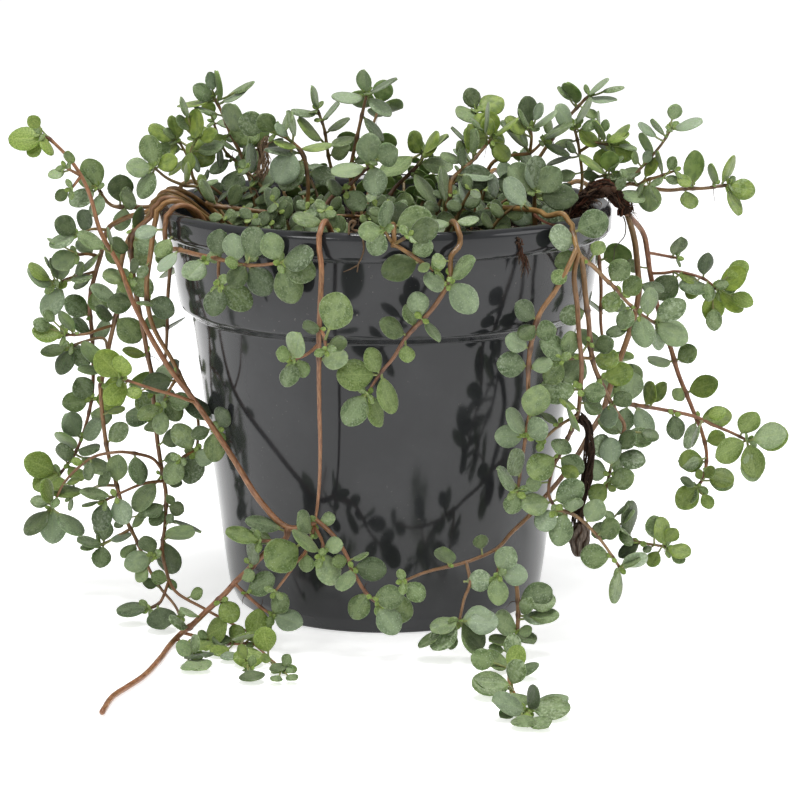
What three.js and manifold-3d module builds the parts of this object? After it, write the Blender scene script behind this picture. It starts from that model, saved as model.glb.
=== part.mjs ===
// A trailing pilea with small silvery leaves in its round nursery pot. Millimetres, +Z up, the origin at the
// middle of the pot's underside, and the front towards -Y.
import * as THREE from 'three';
import { mergeVertices } from 'three/addons/utils/BufferGeometryUtils.js';
import Module from 'manifold-3d';

const wasm = await Module();
wasm.setup();

// The pot: a thin moulded shell with a rolled lip, a wide collar and a tapering body
const POT_HEIGHT = 107;
const RIM_RADIUS = 60;
const LIP_DROP = 7.3;
const COLLAR_RADIUS = 57;
const COLLAR_FOOT_Z = 78.5;
const BODY_TOP_RADIUS = 51.6;
const BODY_LOW_RADIUS = 43;
const BODY_LOW_Z = 8;
const FOOT_LINE_Z = 4;
const FOOT_RADIUS = 42.4;
const BASE_RADIUS = 40.6;
const WALL = 1.2;
const FLOOR = 1.8;
const POT_SIDES = 32;
const DRAIN_HOLES = 8;
const DRAIN_RADIUS = 3.5;
const DRAIN_RING = 27;
const DRAIN_SIDES = 6;

// The potting mix that fills it
const SOIL_TOP = 97;
const SOIL_SIDES = 16;
const SOIL_ROUGH = 1.1;
const SOIL_CLEAR = 0.55;

// The eye that the routes are read by: its distance in front of the pot's axis and its height
const EYE_AWAY = 686;
const EYE_UP = 200;

// Stems
const STEM_SIDES = 4;
const SHOOT_SIDES = 3;
const SHOOT_WIDTH = 1.1;
const TIP_WIDTH = 1.1;
const RING_STEP = 15;
const ROOT_DEPTH = 7;
const ROOT_RISE = 2;
const HOLE_CLEAR = 0.5;
const GAP = 0.3;
const LYING_CLEAR = 0.35;
const POT_CLEAR = 0.95;

// Leaves: fleshy blades with a flat underside and a low dome above. Outlines are parts of the blade's length
// and half width.
const LEAF_DOME = 1.0;
const LEAF_WIDE = 0.94;
const LEAF_LOW = 2;
const PETIOLE_PART = 0.34;
const PETIOLE_LEAST = 0.9;
const PETIOLE_MOST = 6.5;
const PETIOLE_HALF = 0.5;
const PETIOLE_HIGH = 0.72;
const PETIOLE_FOOT = 0.28;
const LONG_PETIOLE = 4.8;
const ROOT_PART = 0.2;
const TIP_INSET = 0.5;
const PLACE_PART = 0.78;
const SMALL_OUTLINE = [[0.5, 1.0]];
const OUTLINE = [[0.27, 0.94], [0.72, 0.94]];
const LARGE_OUTLINE = [[0.17, 0.74], [0.47, 1.0], [0.8, 0.76]];
const SMALL_LEAF = 6.1;
const LARGE_LEAF = 8.6;

// The turns tried in order for a leaf that would cross something: degrees about its face, degrees toward
// it, and its size
const TURNS = [
  [0, 0, 1], [16, 5, 1], [-16, 5, 1], [0, 24, 1], [0, -16, 1],
  [34, 8, 0.95], [-34, 8, 0.95], [20, 30, 0.9], [-20, 30, 0.9], [0, 45, 0.85],
  [60, 12, 0.85], [-60, 12, 0.85], [0, 10, 0.7], [90, 30, 0.7], [-90, 30, 0.7],
];

// Seeded growth
const SEED = 4021;
const BACK_DEPTH = 24;
const BACK_TRAILING = 5;
const BACK_STANDING = 3;
const THICK_STEM = 4;
const THICK_SIDES = 6;
const FUSE_FINE = 0.06;

// Plain vectors, as lists of three
const add = (a, b) => [a[0] + b[0], a[1] + b[1], a[2] + b[2]];
const sub = (a, b) => [a[0] - b[0], a[1] - b[1], a[2] - b[2]];
const times = (a, k) => [a[0] * k, a[1] * k, a[2] * k];
const dot = (a, b) => a[0] * b[0] + a[1] * b[1] + a[2] * b[2];
const cross = (a, b) => [a[1] * b[2] - a[2] * b[1], a[2] * b[0] - a[0] * b[2], a[0] * b[1] - a[1] * b[0]];
const size = (a) => Math.sqrt(dot(a, a));
const unit = (a) => times(a, 1 / Math.max(size(a), 1e-9));
const UP = [0, 0, 1];

// Seeded draws from 0 to 1, the same on every run
function drawsFrom(seed) {
  let state = seed;
  const next = () => {
    state = (state * 16807) % 2147483647;
    return state / 2147483647;
  };
  next();
  next();
  return next;
}

// A closed geometry as a solid, with its doubled corners merged and its empty triangles left out
function solidOf(geometry) {
  geometry.deleteAttribute('normal');
  geometry.deleteAttribute('uv');
  const merged = mergeVertices(geometry, 1e-4);
  const corners = [];
  for (let i = 0; i < merged.index.count; i += 3) {
    const [a, b, c] = [0, 1, 2].map((k) => merged.index.getX(i + k));
    if (a !== b && b !== c && c !== a) corners.push(a, b, c);
  }
  return new wasm.Manifold(new wasm.Mesh({
    numProp: 3,
    vertProperties: merged.attributes.position.array,
    triVerts: new Uint32Array(corners),
  }));
}

function geometryOf(solid) {
  const mesh = solid.getMesh();
  const geometry = new THREE.BufferGeometry();
  geometry.setAttribute('position', new THREE.BufferAttribute(mesh.vertProperties, mesh.numProp));
  geometry.setIndex(new THREE.BufferAttribute(mesh.triVerts, 1));
  return geometry;
}

function indexed(points, triangles) {
  const geometry = new THREE.BufferGeometry();
  geometry.setAttribute('position', new THREE.Float32BufferAttribute(points.flat(), 3));
  geometry.setIndex(triangles.flat());
  return geometry;
}

const materials = {
  pot: new THREE.MeshStandardMaterial({ color: 0x2b2c2e, roughness: 0.28, metalness: 0 }),
  soil: new THREE.MeshStandardMaterial({ color: 0x211a15, roughness: 0.95, metalness: 0 }),
  plant: new THREE.MeshStandardMaterial({ color: 0x7f9678, roughness: 0.55, metalness: 0 }),
};

// The outer wall's radius at a height, used to keep the stems off the pot
function potRadius(z) {
  if (z > POT_HEIGHT - LIP_DROP - 2) return RIM_RADIUS;
  if (z > COLLAR_FOOT_Z) return COLLAR_RADIUS;
  const part = (z - BODY_LOW_Z) / (COLLAR_FOOT_Z - BODY_LOW_Z);
  return BODY_LOW_RADIUS + (BODY_TOP_RADIUS - BODY_LOW_RADIUS) * Math.max(part, 0);
}

function makePot() {
  const lipZ = POT_HEIGHT - LIP_DROP;
  const outside = [
    [0, 0],
    [BASE_RADIUS, 0],
    [FOOT_RADIUS, FOOT_LINE_Z],
    [BODY_LOW_RADIUS, BODY_LOW_Z],
    [BODY_TOP_RADIUS, COLLAR_FOOT_Z - 1],
    [BODY_TOP_RADIUS + 2.9, COLLAR_FOOT_Z + 2.2],
    [COLLAR_RADIUS - 1.3, COLLAR_FOOT_Z + 7.5],
    [COLLAR_RADIUS, lipZ - 0.3],
    [RIM_RADIUS - 0.8, lipZ],
    [RIM_RADIUS, lipZ + 1.2],
    [RIM_RADIUS, POT_HEIGHT - 1.2],
    [RIM_RADIUS - 1, POT_HEIGHT],
  ];
  const inside = [
    [RIM_RADIUS - 2.6, POT_HEIGHT],
    [COLLAR_RADIUS - WALL, POT_HEIGHT - 2],
    [COLLAR_RADIUS - 1.3 - WALL, COLLAR_FOOT_Z + 7.5],
    [BODY_TOP_RADIUS - WALL, COLLAR_FOOT_Z - 1],
    [BODY_LOW_RADIUS - WALL, BODY_LOW_Z],
    [BASE_RADIUS - WALL, FLOOR],
    [0, FLOOR],
  ];
  const profile = [...outside, ...inside].map(([r, z]) => new THREE.Vector2(r, z));
  const shell = new THREE.LatheGeometry(profile, POT_SIDES).rotateX(Math.PI / 2);
  let pot = solidOf(shell);
  for (let i = 0; i < DRAIN_HOLES; i += 1) {
    const angle = ((i + 0.5) / DRAIN_HOLES) * 2 * Math.PI;
    const hole = new THREE.CylinderGeometry(DRAIN_RADIUS, DRAIN_RADIUS, 4 * FLOOR, DRAIN_SIDES);
    hole.rotateX(Math.PI / 2);
    hole.translate(DRAIN_RING * Math.cos(angle), DRAIN_RING * Math.sin(angle), 0);
    pot = pot.subtract(solidOf(hole));
  }
  return pot;
}

// The soil's surface: a low mound with a few broad lumps
function soilHeight(x, y) {
  const r = Math.hypot(x, y);
  const mound = 1.5 * (1 - (r / RIM_RADIUS) ** 2);
  return SOIL_TOP + mound + SOIL_ROUGH * Math.sin(x * 0.21 + 1) * Math.cos(y * 0.17 - 0.4);
}

function makeSoil() {
  const wall = WALL + SOIL_CLEAR;
  const profile = [
    [0, FLOOR + GAP],
    [BASE_RADIUS - wall - 1, FLOOR + GAP],
    [BODY_LOW_RADIUS - wall, BODY_LOW_Z + 0.2],
    [BODY_TOP_RADIUS - wall, COLLAR_FOOT_Z - 1],
    [COLLAR_RADIUS - 1.3 - wall, COLLAR_FOOT_Z + 7.7],
    [COLLAR_RADIUS - 0.6 - wall, SOIL_TOP],
    [40, SOIL_TOP],
    [20, SOIL_TOP],
    [0, SOIL_TOP],
  ].map(([r, z]) => new THREE.Vector2(r, z));
  const body = new THREE.LatheGeometry(profile, SOIL_SIDES).rotateX(Math.PI / 2);
  const place = body.attributes.position;
  for (let i = 0; i < place.count; i += 1) {
    if (place.getZ(i) > SOIL_TOP - 0.01) place.setZ(i, soilHeight(place.getX(i), place.getY(i)));
  }
  return solidOf(body);
}

// A point as it is seen from in front, at a depth behind the upright plane through the pot's axis. Without
// a depth it lies on the surface, with its own radius under it.
function seen([across, up, depth], radius) {
  const lowest = radius + LYING_CLEAR;
  const near = depth === undefined ? (EYE_UP - lowest) / (EYE_UP - up) : (EYE_AWAY + depth) / EYE_AWAY;
  const point = [across * near, EYE_AWAY * (near - 1), EYE_UP + (up - EYE_UP) * near];
  point[2] = Math.max(point[2], lowest);
  return clearOfPot(point, radius);
}

// Moves a point that would lie in the pot's wall straight out, to lie against it
function clearOfPot(point, radius) {
  const r = Math.hypot(point[0], point[1]);
  const inMouth = point[2] > SOIL_TOP && r < COLLAR_RADIUS - 2 * WALL;
  const least = potRadius(point[2]) + radius + POT_CLEAR;
  if (point[2] > POT_HEIGHT || inMouth || r > least) return point;
  return [(point[0] / r) * least, (point[1] / r) * least, point[2]];
}

// The three points by which a stem passes over the rim, at an angle round the pot
function overRim(degrees, radius) {
  const angle = (degrees * Math.PI) / 180;
  const at = (r, z) => [r * Math.cos(angle), r * Math.sin(angle), z];
  return [
    at(RIM_RADIUS - 6, POT_HEIGHT + radius + 0.2),
    at(RIM_RADIUS - 0.8, POT_HEIGHT + radius + 1.1),
    at(RIM_RADIUS + radius + 1.2, POT_HEIGHT - 2.5),
  ];
}

// A smooth route through its points. Position t counts the points, so 2.5 lies between the third and fourth.
function smoothRoute(points) {
  const last = points.length - 1;
  const before = sub(times(points[0], 2), points[1]);
  const after = sub(times(points[last], 2), points[last - 1]);
  const all = [before, ...points, after];
  const at = (t) => {
    const held = Math.min(Math.max(t, 0), last);
    const i = Math.min(Math.floor(held), last - 1);
    const u = held - i;
    const [a, b, c, d] = all.slice(i, i + 4);
    return [0, 1, 2].map((k) => {
      const slopeIn = (c[k] - a[k]) / 2;
      const slopeOut = (d[k] - b[k]) / 2;
      const bend = 2 * b[k] - 2 * c[k] + slopeIn + slopeOut;
      const rise = -3 * b[k] + 3 * c[k] - 2 * slopeIn - slopeOut;
      return ((bend * u + rise) * u + slopeIn) * u + b[k];
    });
  };
  return { at, last };
}

// The places of a bar's rings: its ends and sharp bends, and even steps between
function ringPlaces(route, bends) {
  const kept = [...new Set([0, ...bends, route.last])];
  const places = [0];
  for (let i = 1; i < kept.length; i += 1) {
    const [from, to] = [kept[i - 1], kept[i]];
    let long = 0;
    for (let k = 1; k <= 12; k += 1) {
      const here = route.at(from + ((to - from) * k) / 12);
      const before = route.at(from + ((to - from) * (k - 1)) / 12);
      long += size(sub(here, before));
    }
    const steps = Math.max(1, Math.round(long / RING_STEP));
    for (let k = 1; k <= steps; k += 1) places.push(from + ((to - from) * k) / steps);
  }
  return places;
}

// A straight bar with a many-sided section, bent along ring centres and thinned ring by ring
function bentBar(centres, radii, sides) {
  const section = new THREE.Shape();
  for (let i = 0; i < sides; i += 1) {
    const angle = (i / sides) * 2 * Math.PI;
    if (i === 0) section.moveTo(1, 0);
    else section.lineTo(Math.cos(angle), Math.sin(angle));
  }
  const count = centres.length - 1;
  const bar = new THREE.ExtrudeGeometry(section, { depth: count, steps: count, bevelEnabled: false });
  const frames = [];
  let side = null;
  for (let i = 0; i <= count; i += 1) {
    const ahead = unit(sub(centres[Math.min(i + 1, count)], centres[Math.max(i - 1, 0)]));
    const start = Math.abs(ahead[2]) < 0.8 ? UP : [1, 0, 0];
    const from = side === null ? start : side;
    side = unit(sub(from, times(ahead, dot(from, ahead))));
    frames.push([side, cross(ahead, side)]);
  }
  const place = bar.attributes.position;
  for (let i = 0; i < place.count; i += 1) {
    const ring = Math.round(place.getZ(i));
    const [x, y] = frames[ring];
    const out = add(times(x, place.getX(i) * radii[ring]), times(y, place.getY(i) * radii[ring]));
    const point = add(centres[ring], out);
    place.setXYZ(i, point[0], point[1], point[2]);
  }
  return solidOf(bar);
}

// The way a leaf's upper side faces, by name
const FACES = {
  front: [0, -1, 0.35],
  up: [0, -0.34, 1],
  edge: [0, -0.05, 1],
  left: [-0.8, -0.5, 0.45],
  right: [0.8, -0.5, 0.45],
  side: [0.9, -0.5, 0.25],
};

// The way that a leaf with no name for it faces: toward the light in front and above, and out from the pot
function lightAt(point) {
  const r = Math.max(Math.hypot(point[0], point[1]), 1);
  const ahead = point[1] < BACK_DEPTH ? -0.75 : 0.3;
  return [(point[0] / r) * 0.35, ahead + (point[1] / r) * 0.35, 0.5];
}

// A leaf as its frame: where it leaves the stem, the way it points, its upper face and its sizes
function leafToward(origin, middle, facing, long, wide, sunk) {
  const way = sub(middle, origin);
  const far = size(way);
  const ahead = far < 0.4 ? [0, 0, -1] : unit(way);
  const face = unit(sub(facing, times(ahead, dot(facing, ahead))));
  const petiole = Math.min(Math.max(far - long / 2, PETIOLE_LEAST), PETIOLE_MOST);
  return { origin, ahead, face, side: cross(face, ahead), long, wide, petiole, sunk };
}

// The corners of a blade's outline from its base round by the tip, each a distance ahead and aside
function outlineOf(leaf, grown) {
  const half = leaf.wide / 2;
  const shape = leaf.long > LARGE_LEAF ? LARGE_OUTLINE : leaf.long > SMALL_LEAF ? OUTLINE : SMALL_OUTLINE;
  const left = shape.map(([u, v]) => [u * leaf.long, -v * half - grown]);
  const right = [...left].reverse().map(([u, v]) => [u, -v]);
  const root = PETIOLE_HALF + grown;
  return [[-grown, -root], ...left, [leaf.long + grown, 0], ...right, [-grown, root]];
}

// Places a distance ahead of, beside and above the blade's base
function leafPoints(leaf) {
  const base = add(leaf.origin, times(leaf.ahead, leaf.petiole));
  return (u, v, h) => add(base, add(times(leaf.ahead, u), add(times(leaf.side, v), times(leaf.face, h))));
}

// A leaf as a closed solid: a blade with a flat underside, a low dome over it and a three-sided petiole.
// A short petiole ends in a point inside the stem, and a long one keeps its width.
function leafSolid(leaf) {
  const at = leafPoints(leaf);
  const rim = outlineOf(leaf, 0).map(([u, v]) => at(u, v, 0));
  const last = rim.length - 1;
  const [dome, ridge, low, lowOther, top] = [1, 2, 3, 4, 5].map((k) => last + k);
  const end = -leaf.petiole - leaf.sunk;
  const points = [...rim, at(leaf.long * 0.48, 0, LEAF_DOME), at(0, 0, PETIOLE_HIGH)];
  const faces = [
    [0, dome, ridge],
    [ridge, dome, last],
  ];
  if (leaf.petiole < LONG_PETIOLE) {
    points.push(at(end, 0, PETIOLE_HIGH / 3));
    faces.push([0, ridge, low], [ridge, last, low], [last, 0, low]);
  } else {
    points.push(at(end, -PETIOLE_FOOT, 0), at(end, PETIOLE_FOOT, 0), at(end, 0, PETIOLE_HIGH / 2));
    faces.push([0, ridge, top], [0, top, low], [ridge, last, lowOther], [ridge, lowOther, top]);
    faces.push([last, 0, low], [last, low, lowOther], [low, top, lowOther]);
  }
  for (let i = 0; i < last; i += 1) faces.push([i, i + 1, dome]);
  for (let i = 1; i < last; i += 1) faces.push([0, i + 1, i]);
  return solidOf(indexed(points, faces));
}

// The room that a blade needs round itself
function leafRoom(leaf) {
  const at = leafPoints(leaf);
  const outline = outlineOf(leaf, GAP);
  const high = outline.map(([u, v]) => at(u, v, GAP));
  const low = outline.map(([u, v]) => at(u, v, -GAP));
  const count = outline.length;
  const faces = [];
  for (let i = 0; i < count; i += 1) {
    const j = (i + 1) % count;
    faces.push([i, j, 2 * count], [count + i, count + j, i], [i, count + j, j]);
  }
  for (let i = 1; i < count - 1; i += 1) faces.push([count, count + i + 1, count + i]);
  return solidOf(indexed([...high, ...low, at(leaf.long * 0.48, 0, LEAF_DOME + GAP)], faces));
}

// A leaf turned about the way it faces, tipped toward it and made smaller
function turned(leaf, [turn, tilt, scale]) {
  const spin = (turn * Math.PI) / 180;
  const rise = (tilt * Math.PI) / 180;
  const spun = add(times(leaf.ahead, Math.cos(spin)), times(leaf.side, Math.sin(spin)));
  const ahead = add(times(spun, Math.cos(rise)), times(leaf.face, Math.sin(rise)));
  const face = sub(times(leaf.face, Math.cos(rise)), times(spun, Math.sin(rise)));
  const long = leaf.long * scale;
  const wide = leaf.wide * scale;
  const petiole = leaf.petiole + ((1 - scale) * leaf.long) / 2;
  return { ...leaf, ahead, face, side: cross(face, ahead), long, wide, petiole };
}

// The stems, read by eye from in front. Each is rooted in the soil at [degrees, radius], or grows from a
// place on another stem. Route points are [across, up, depth]; two numbers lie on the surface that the
// pot stands on. Shoots are [place, points]. Leaves are [across, up, length, way it faces] of the
// blade's middle.
const STEMS = [
  {
    'name': 'stem_front_long', 'root': [-105, 45], 'thick': 1.7,
    'route': [['rim', -105], [-17, 88, -62], [-17.7, 73, -61], [-17.8, 64.5, -60], [-17.8, 53, -58],
      [-17.6, 40, -56],
      [-18, 28, -54], [-19.2, 18, -52]],
    'shoots': [
      [5, [[-16.4, 70.5, -65], [-15.9, 67, -67]]],
      [5.5, [[-20.7, 65.8, -62], [-24.7, 64, -64]]],
      [10, [[-21.5, 11.2, -54], [-24.2, 7.9, -56], [-26.4, 4.6, -57], [-30, -0.4, -58]]],
      [10, [[-17, 13, -57], [-17.5, 9.5, -59]]],
    ],
    'leaves': [
      [-13.2, 77.4, 10.5, 'front'], [-17.7, 70.2, 5], [-13.2, 64.3, 6.5], [-23.4, 69, 6],
      [-25.8, 59.5, 5.5], [-23.2, 20.2, 6.5, 'up'],
      [-21, 15, 8, 'edge'], [-14, 12.6, 5], [-15, 6, 8, 'up'], [-29, 8.8, 10],
      [-20.9, 100.9, 6.5, 'up'],
    ],
  },
  {
    'name': 'stem_left_long', 'from': ['stem_front_long', 9.9], 'thick': 1.8,
    'route': [[-26.5, 17.6, -50], [-34, 25, -46], [-42, 38.3, -38], [-51, 52.3, -27], [-58.6, 62.8, -21],
      [-66.3, 77.3, -17], [-71, 89.9, -15], [-75.7, 98.9, -13], [-78.6, 109.6, -11], [-82.7, 117.3, -10],
      [-88.4, 123.4, -9], [-90.5, 124.6, -9]],
    'shoots': [
      [4, [[-57, 54.5, -30], [-62.5, 56, -31], [-68, 58, -32], [-71.5, 59, -33]]],
      [9.5, [[-84.3, 115.8, -13]]],
      [9.5, [[-83, 110.4, -12]]],
    ],
    'leaves': [
      [-95.4, 123.5, 8], [-88, 120.5, 5, 'edge'],
      [-75.4, 64, 6], [-70.6, 63.2, 5.5], [-72.8, 54.6, 7],
    ],
  },
  {
    'name': 'stem_bare', 'from': ['stem_left_long', 1], 'thick': 1.7, 'end': 1.7,
    'route': [[-27.3, 14.2, -50], [-31.9, 11.2, -50], [-37.2, 5.8, -50], [-41.3, 1.8, -50],
      [-44.8, -2.2, -51],
      [-49.6, -6.7, -51], [-53, -10.1, -50], [-55.8, -12.3, -48], [-58.9, -15.5], [-61.8, -19.5],
      [-65.8, -24],
      [-69.8, -27], [-74.2, -29.8], [-76.2, -31.8], [-78.3, -35.2]],
    'shoots': [
      [1, [[-31, 13.8, -53], [-34.2, 13.8, -54]]],
      [4, [[-37.5, -2, -53], [-34.2, -5, -54], [-31, -7.2, -54]]],
      [8, [[-52.5, -13.2, -47], [-48.8, -14.6], [-44, -15.3], [-39.8, -15.5], [-36.4, -15.2]]],
      [8.5, [[-54.5, -17], [-52, -20.4]]],
    ],
    'leaves': [
      [-34, 18.4, 8, 'edge'], [-30.5, 16.9, 5], [-40, 15.2, 7, 'up'], [-35.6, 10.8, 6, 'up'],
      [-42.6, -6.5, 6],
      [-33.8, -9.6, 7.5], [-28.6, -3.6, 5.5], [-26, -9, 7], [-33, 1.6, 7], [-51.2, -16, 5, 'up'],
      [-45.2, -17.6, 6.5, 'up'], [-45.9, -11.3, 6], [-41.6, -18.6, 6, 'up'], [-53.6, -22.6, 7, 'up'],
      [-49.4, -21.6, 6.5, 'up'], [-32.6, -14.2, 7], [-36, -19.4, 8, 'up'], [-39.6, -11.8, 5],
      [-57.6, -9.6, 5, 'edge'],
    ],
  },
  {
    'name': 'stem_front_low', 'from': ['stem_front_long', 9.8], 'thick': 1.3,
    'route': [[-14.6, 15.9, -55], [-11.9, 12.1, -57], [-10, 8.4, -58], [-8.7, 5, -59], [-5.5, -0.6, -61],
      [-1.9, -4, -62]],
    'leaves': [
      [-12.6, 2.4, 6, 'up'], [-4.4, 2.7, 7], [-7, -4.8, 7], [1.8, -2, 6.5], [1.3, -9.6, 6.5], [5, -6.6, 6],
    ],
  },
  {
    'name': 'stem_left_a', 'root': [188, 47], 'thick': 1.7,
    'route': [['rim', 197], [-62.6, 92, -17], [-63.7, 84, -16], [-62.9, 75.7, -14], [-60.8, 70.3, -12],
      [-57.2, 64, -11], [-53.6, 56.6, -11], [-51.3, 52, -12], [-50.4, 45.5, -14], [-51, 39, -16]],
    'shoots': [
      [8.5, [[-58, 56, -15], [-60.2, 51.4, -17]]],
      [10.5, [[-47.4, 47, -21], [-45.2, 44.6, -25]]],
      [12, [[-53.6, 38, -18], [-55.2, 36.8, -19]]],
    ],
    'leaves': [
      [-61.6, 56, 6.5], [-64, 49.4, 6], [-56.8, 49.8, 5.5], [-60.4, 46, 5], [-54.9, 52.6, 5],
      [-54.9, 43.5, 7],
      [-52.4, 33.6, 7.5], [-57.6, 32.5, 6], [-48.6, 37, 5], [-47.9, 49.6, 8, 'edge'], [-42.4, 49, 5],
      [-44.6, 39.6, 7], [-59.6, 60.6, 5], [-67.2, 80.4, 5, 'left'], [-59.4, 77, 6],
    ],
  },
  {
    'name': 'stem_left_b', 'root': [181, 46], 'thick': 1.6,
    'route': [['rim', 190], [-67.3, 97.8, -10], [-67.4, 89.9, -8], [-66.4, 81.2, -8], [-64.8, 72, -7],
      [-63.6, 64.5, -6], [-62.6, 59, -6], [-62.3, 51.5, -6], [-61.7, 43, -8], [-61, 37, -10],
      [-60, 30.6, -12],
      [-59.5, 26, -14], [-60, 17.8, -16], [-60.8, 11.8, -18], [-60, 6, -22], [-57.4, -0.5, -30],
      [-50, -5.2, -41], [-43.4, -9, -43], [-37, -12.4]],
    'shoots': [
      [12.5, [[-63, 36.9, -13], [-67.9, 38.3, -16], [-73.3, 38.6, -18], [-79.9, 36.8, -17],
      [-86.7, 30.6, -14],
        [-90.6, 23, -12]]],
      [13, [[-65.2, 30, -15], [-70.2, 28, -17], [-76, 25.2, -18]]],
      [16, [[-63.1, 9.6, -21]]],
      [17.5, [[-61.5, -3.4, -32], [-64.6, -5.4, -33]]],
    ],
    'leaves': [
      [-65.2, 102, 6, 'up'], [-61.4, 98.2, 5], [-71.4, 95, 5], [-66, 33.3, 7, 'up'], [-66, 25.2, 7, 'up'],
      [-63.4, 22, 5], [-55.2, 16.4, 7, 'edge'], [-67.9, 8, 7], [-64.8, 13.2, 5],
      [-59.6, 8, 8.5], [-91.8, 28, 7, 'up'], [-95.6, 18.3, 7, 'up'],
      [-90.6, 16.6, 7, 'up'], [-85.2, 18.2, 8, 'edge'], [-79.6, 26.8, 7, 'up'], [-77, 20.2, 7, 'up'],
      [-71.6, 21.6, 6.5], [-70.6, -5.6, 6, 'edge'], [-63.6, -9.8, 8, 'up'],
      [-68.2, 66, 5, 'up'], [-58.6, 53.4, 5],
    ],
  },
  {
    'name': 'stem_left_c', 'root': [174, 44], 'thick': 1.6,
    'route': [['rim', 185], [-67.6, 98, -1], [-70.4, 89.9, 0], [-71, 80, 1], [-72.7, 73.6, 2],
      [-76, 59.6, 2],
      [-76.6, 54, 1], [-75.3, 40, 0], [-72.8, 29.3, -2], [-70.6, 20.3, -5], [-67.9, 14.2, -7],
      [-64.6, 6, -9],
      [-61.6, 0.6, -13], [-57.6, -4.6, -24], [-56.2, -8.2, -33]],
    'shoots': [
      [5.5, [[-69.6, 87, -8], [-68.4, 86.4, -14]]],
      [7, [[-77.2, 72.2, -1], [-80, 71.2, -3], [-85.7, 70.8, -5]]],
      [7.5, [[-75.6, 70, 5], [-81.2, 69, 6], [-84.4, 67.6, 6]]],
      [11, [[-77.3, 29.3, -1], [-80.6, 28, 0], [-84.7, 27, 1]]],
      [12.5, [[-74, 14.4, -5], [-77.5, 12.6, -4]]],
    ],
    'leaves': [
      [-72.6, 85.4, 5.5], [-64.6, 84, 5.5], [-65, 92.6, 6.5], [-69.4, 81.6, 5],
      [-75.8, 82.4, 7, 'edge'], [-75.6, 77, 5], [-68.2, 71.6, 7], [-91.5, 71.5, 6.5],
      [-89.6, 66.5, 6, 'up'],
      [-85.6, 75, 6, 'edge'], [-86.6, 62.6, 5.5, 'up'], [-78.7, 66, 8, 'edge'], [-81.6, 64.4, 5],
      [-72.6, 56.4, 5],
      [-72.4, 63.4, 5, 'up'], [-79.8, 61.2, 6, 'up'], [-87.4, 27.5, 8, 'edge'], [-81.4, 13.2, 6, 'edge'],
      [-77.6, 8.6, 5, 'up'],
      [-76.9, 17.4, 6], [-70.2, 10.6, 5, 'up'], [-72.4, 35.6, 5, 'up'], [-71.4, 44.6, 5],
      [-66.6, 19.8, 5, 'up'],
    ],
  },
  {
    'name': 'stem_left_d', 'root': [168, 46], 'thick': 1.7,
    'route': [['rim', 178], [-67.6, 103, 5], [-71, 101.5, 6], [-73.8, 99.3, 7], [-75.9, 92, 8],
      [-77.1, 88.2, 9],
      [-79, 80, 9], [-78.5, 70.4, 11], [-78.5, 61, 10], [-79, 54, 8], [-81, 45.6, 6], [-84, 38.2, 3],
      [-88.3, 32.4, 0]],
    'shoots': [
      [6, [[-78, 99.5, 4], [-81.4, 98.2, 2]]],
      [7, [[-79, 92.8, 5], [-82, 92.6, 3]]],
      [8, [[-80.5, 87.2, 7], [-84.6, 86.2, 5], [-88.2, 84, 3]]],
    ],
    'leaves': [
      [-94.6, 35.6, 7], [-93, 29.6, 5.5], [-87.8, 27.4, 5], [-83.4, 32.4, 5, 'up'], [-87, 39, 5],
      [-79.8, 39.3, 6, 'edge'], [-77.6, 34.6, 7.5, 'up'], [-81.8, 57, 6], [-84.6, 52.3, 5.5],
      [-83.8, 47.6, 7, 'up'],
      [-76.4, 48.4, 6], [-77.2, 42, 7.5], [-73, 51.4, 6], [-86, 43.6, 6.5, 'edge'], [-83, 79, 6.5],
      [-76.4, 79, 5, 'up'], [-82, 73.4, 5.5, 'up'], [-75.4, 72.6, 5], [-92.6, 87, 7, 'up'],
      [-89.4, 79, 7.5, 'up'],
      [-86.6, 89, 6, 'edge'], [-85.2, 100.6, 6], [-79.4, 102.6, 5], [-80.2, 95.2, 5],
      [-86.6, 96, 6, 'edge'],
      [-86, 91, 6.5], [-72.4, 91.6, 5], [-83.6, 66.4, 5, 'edge'],
    ],
  },
  {
    'name': 'stem_left_e', 'root': [160, 47], 'thick': 1.5,
    'route': [['rim', 170], [-69, 105.4, 10], [-72.8, 106, 10], [-75, 108.6, 9], [-76, 110.5, 8]],
    'leaves': [
      [-77.3, 115, 7.5], [-72.2, 111.6, 5], [-81, 107, 5.5], [-76.6, 105, 5], [-70.4, 109, 6, 'up'],
      [-69.8, 101.8, 6, 'up'],
    ],
  },
  {
    'name': 'stem_collar', 'root': [203, 48], 'thick': 1.6,
    'route': [['rim', 205], [-56.6, 94.6, -26], [-53, 94.3, -31], [-48, 93, -38], [-42.3, 91.8, -44],
      [-38, 90.4, -48],
      [-33, 90, -52], [-28.1, 90.5, -56]],
    'shoots': [
      [6.5, [[-49, 91.5, -42], [-48, 91, -44]]],
      [7, [[-44.5, 88, -46], [-44.2, 84.7, -49]]],
    ],
    'leaves': [
      [-52.4, 94.6, 6.5], [-44.2, 96.6, 6.5], [-51.6, 88.4, 5.5], [-49.4, 85.8, 7],
      [-45.4, 79.6, 7], [-39.4, 86.6, 6], [-38.8, 80.6, 7], [-34.7, 96.5, 8.5], [-40, 95.4, 6],
      [-30.3, 95.2, 6.5], [-22.2, 93.4, 8.5], [-33.4, 85.6, 7.5], [-25.8, 83.6, 8], [-21.4, 88, 6],
      [-58.6, 90, 5, 'left'],
    ],
  },
  {
    'name': 'stem_inner_left', 'root': [192, 40], 'thick': 1.5,
    'route': [[-47, 106, -11], [-44.6, 105.6, -14], [-38, 104.8, -15], [-31.3, 104, -16],
      [-25.5, 103.2, -17],
      [-16.5, 102.9, -16], [-11.3, 103.1, -16], [-5, 102.8, -15]],
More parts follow.
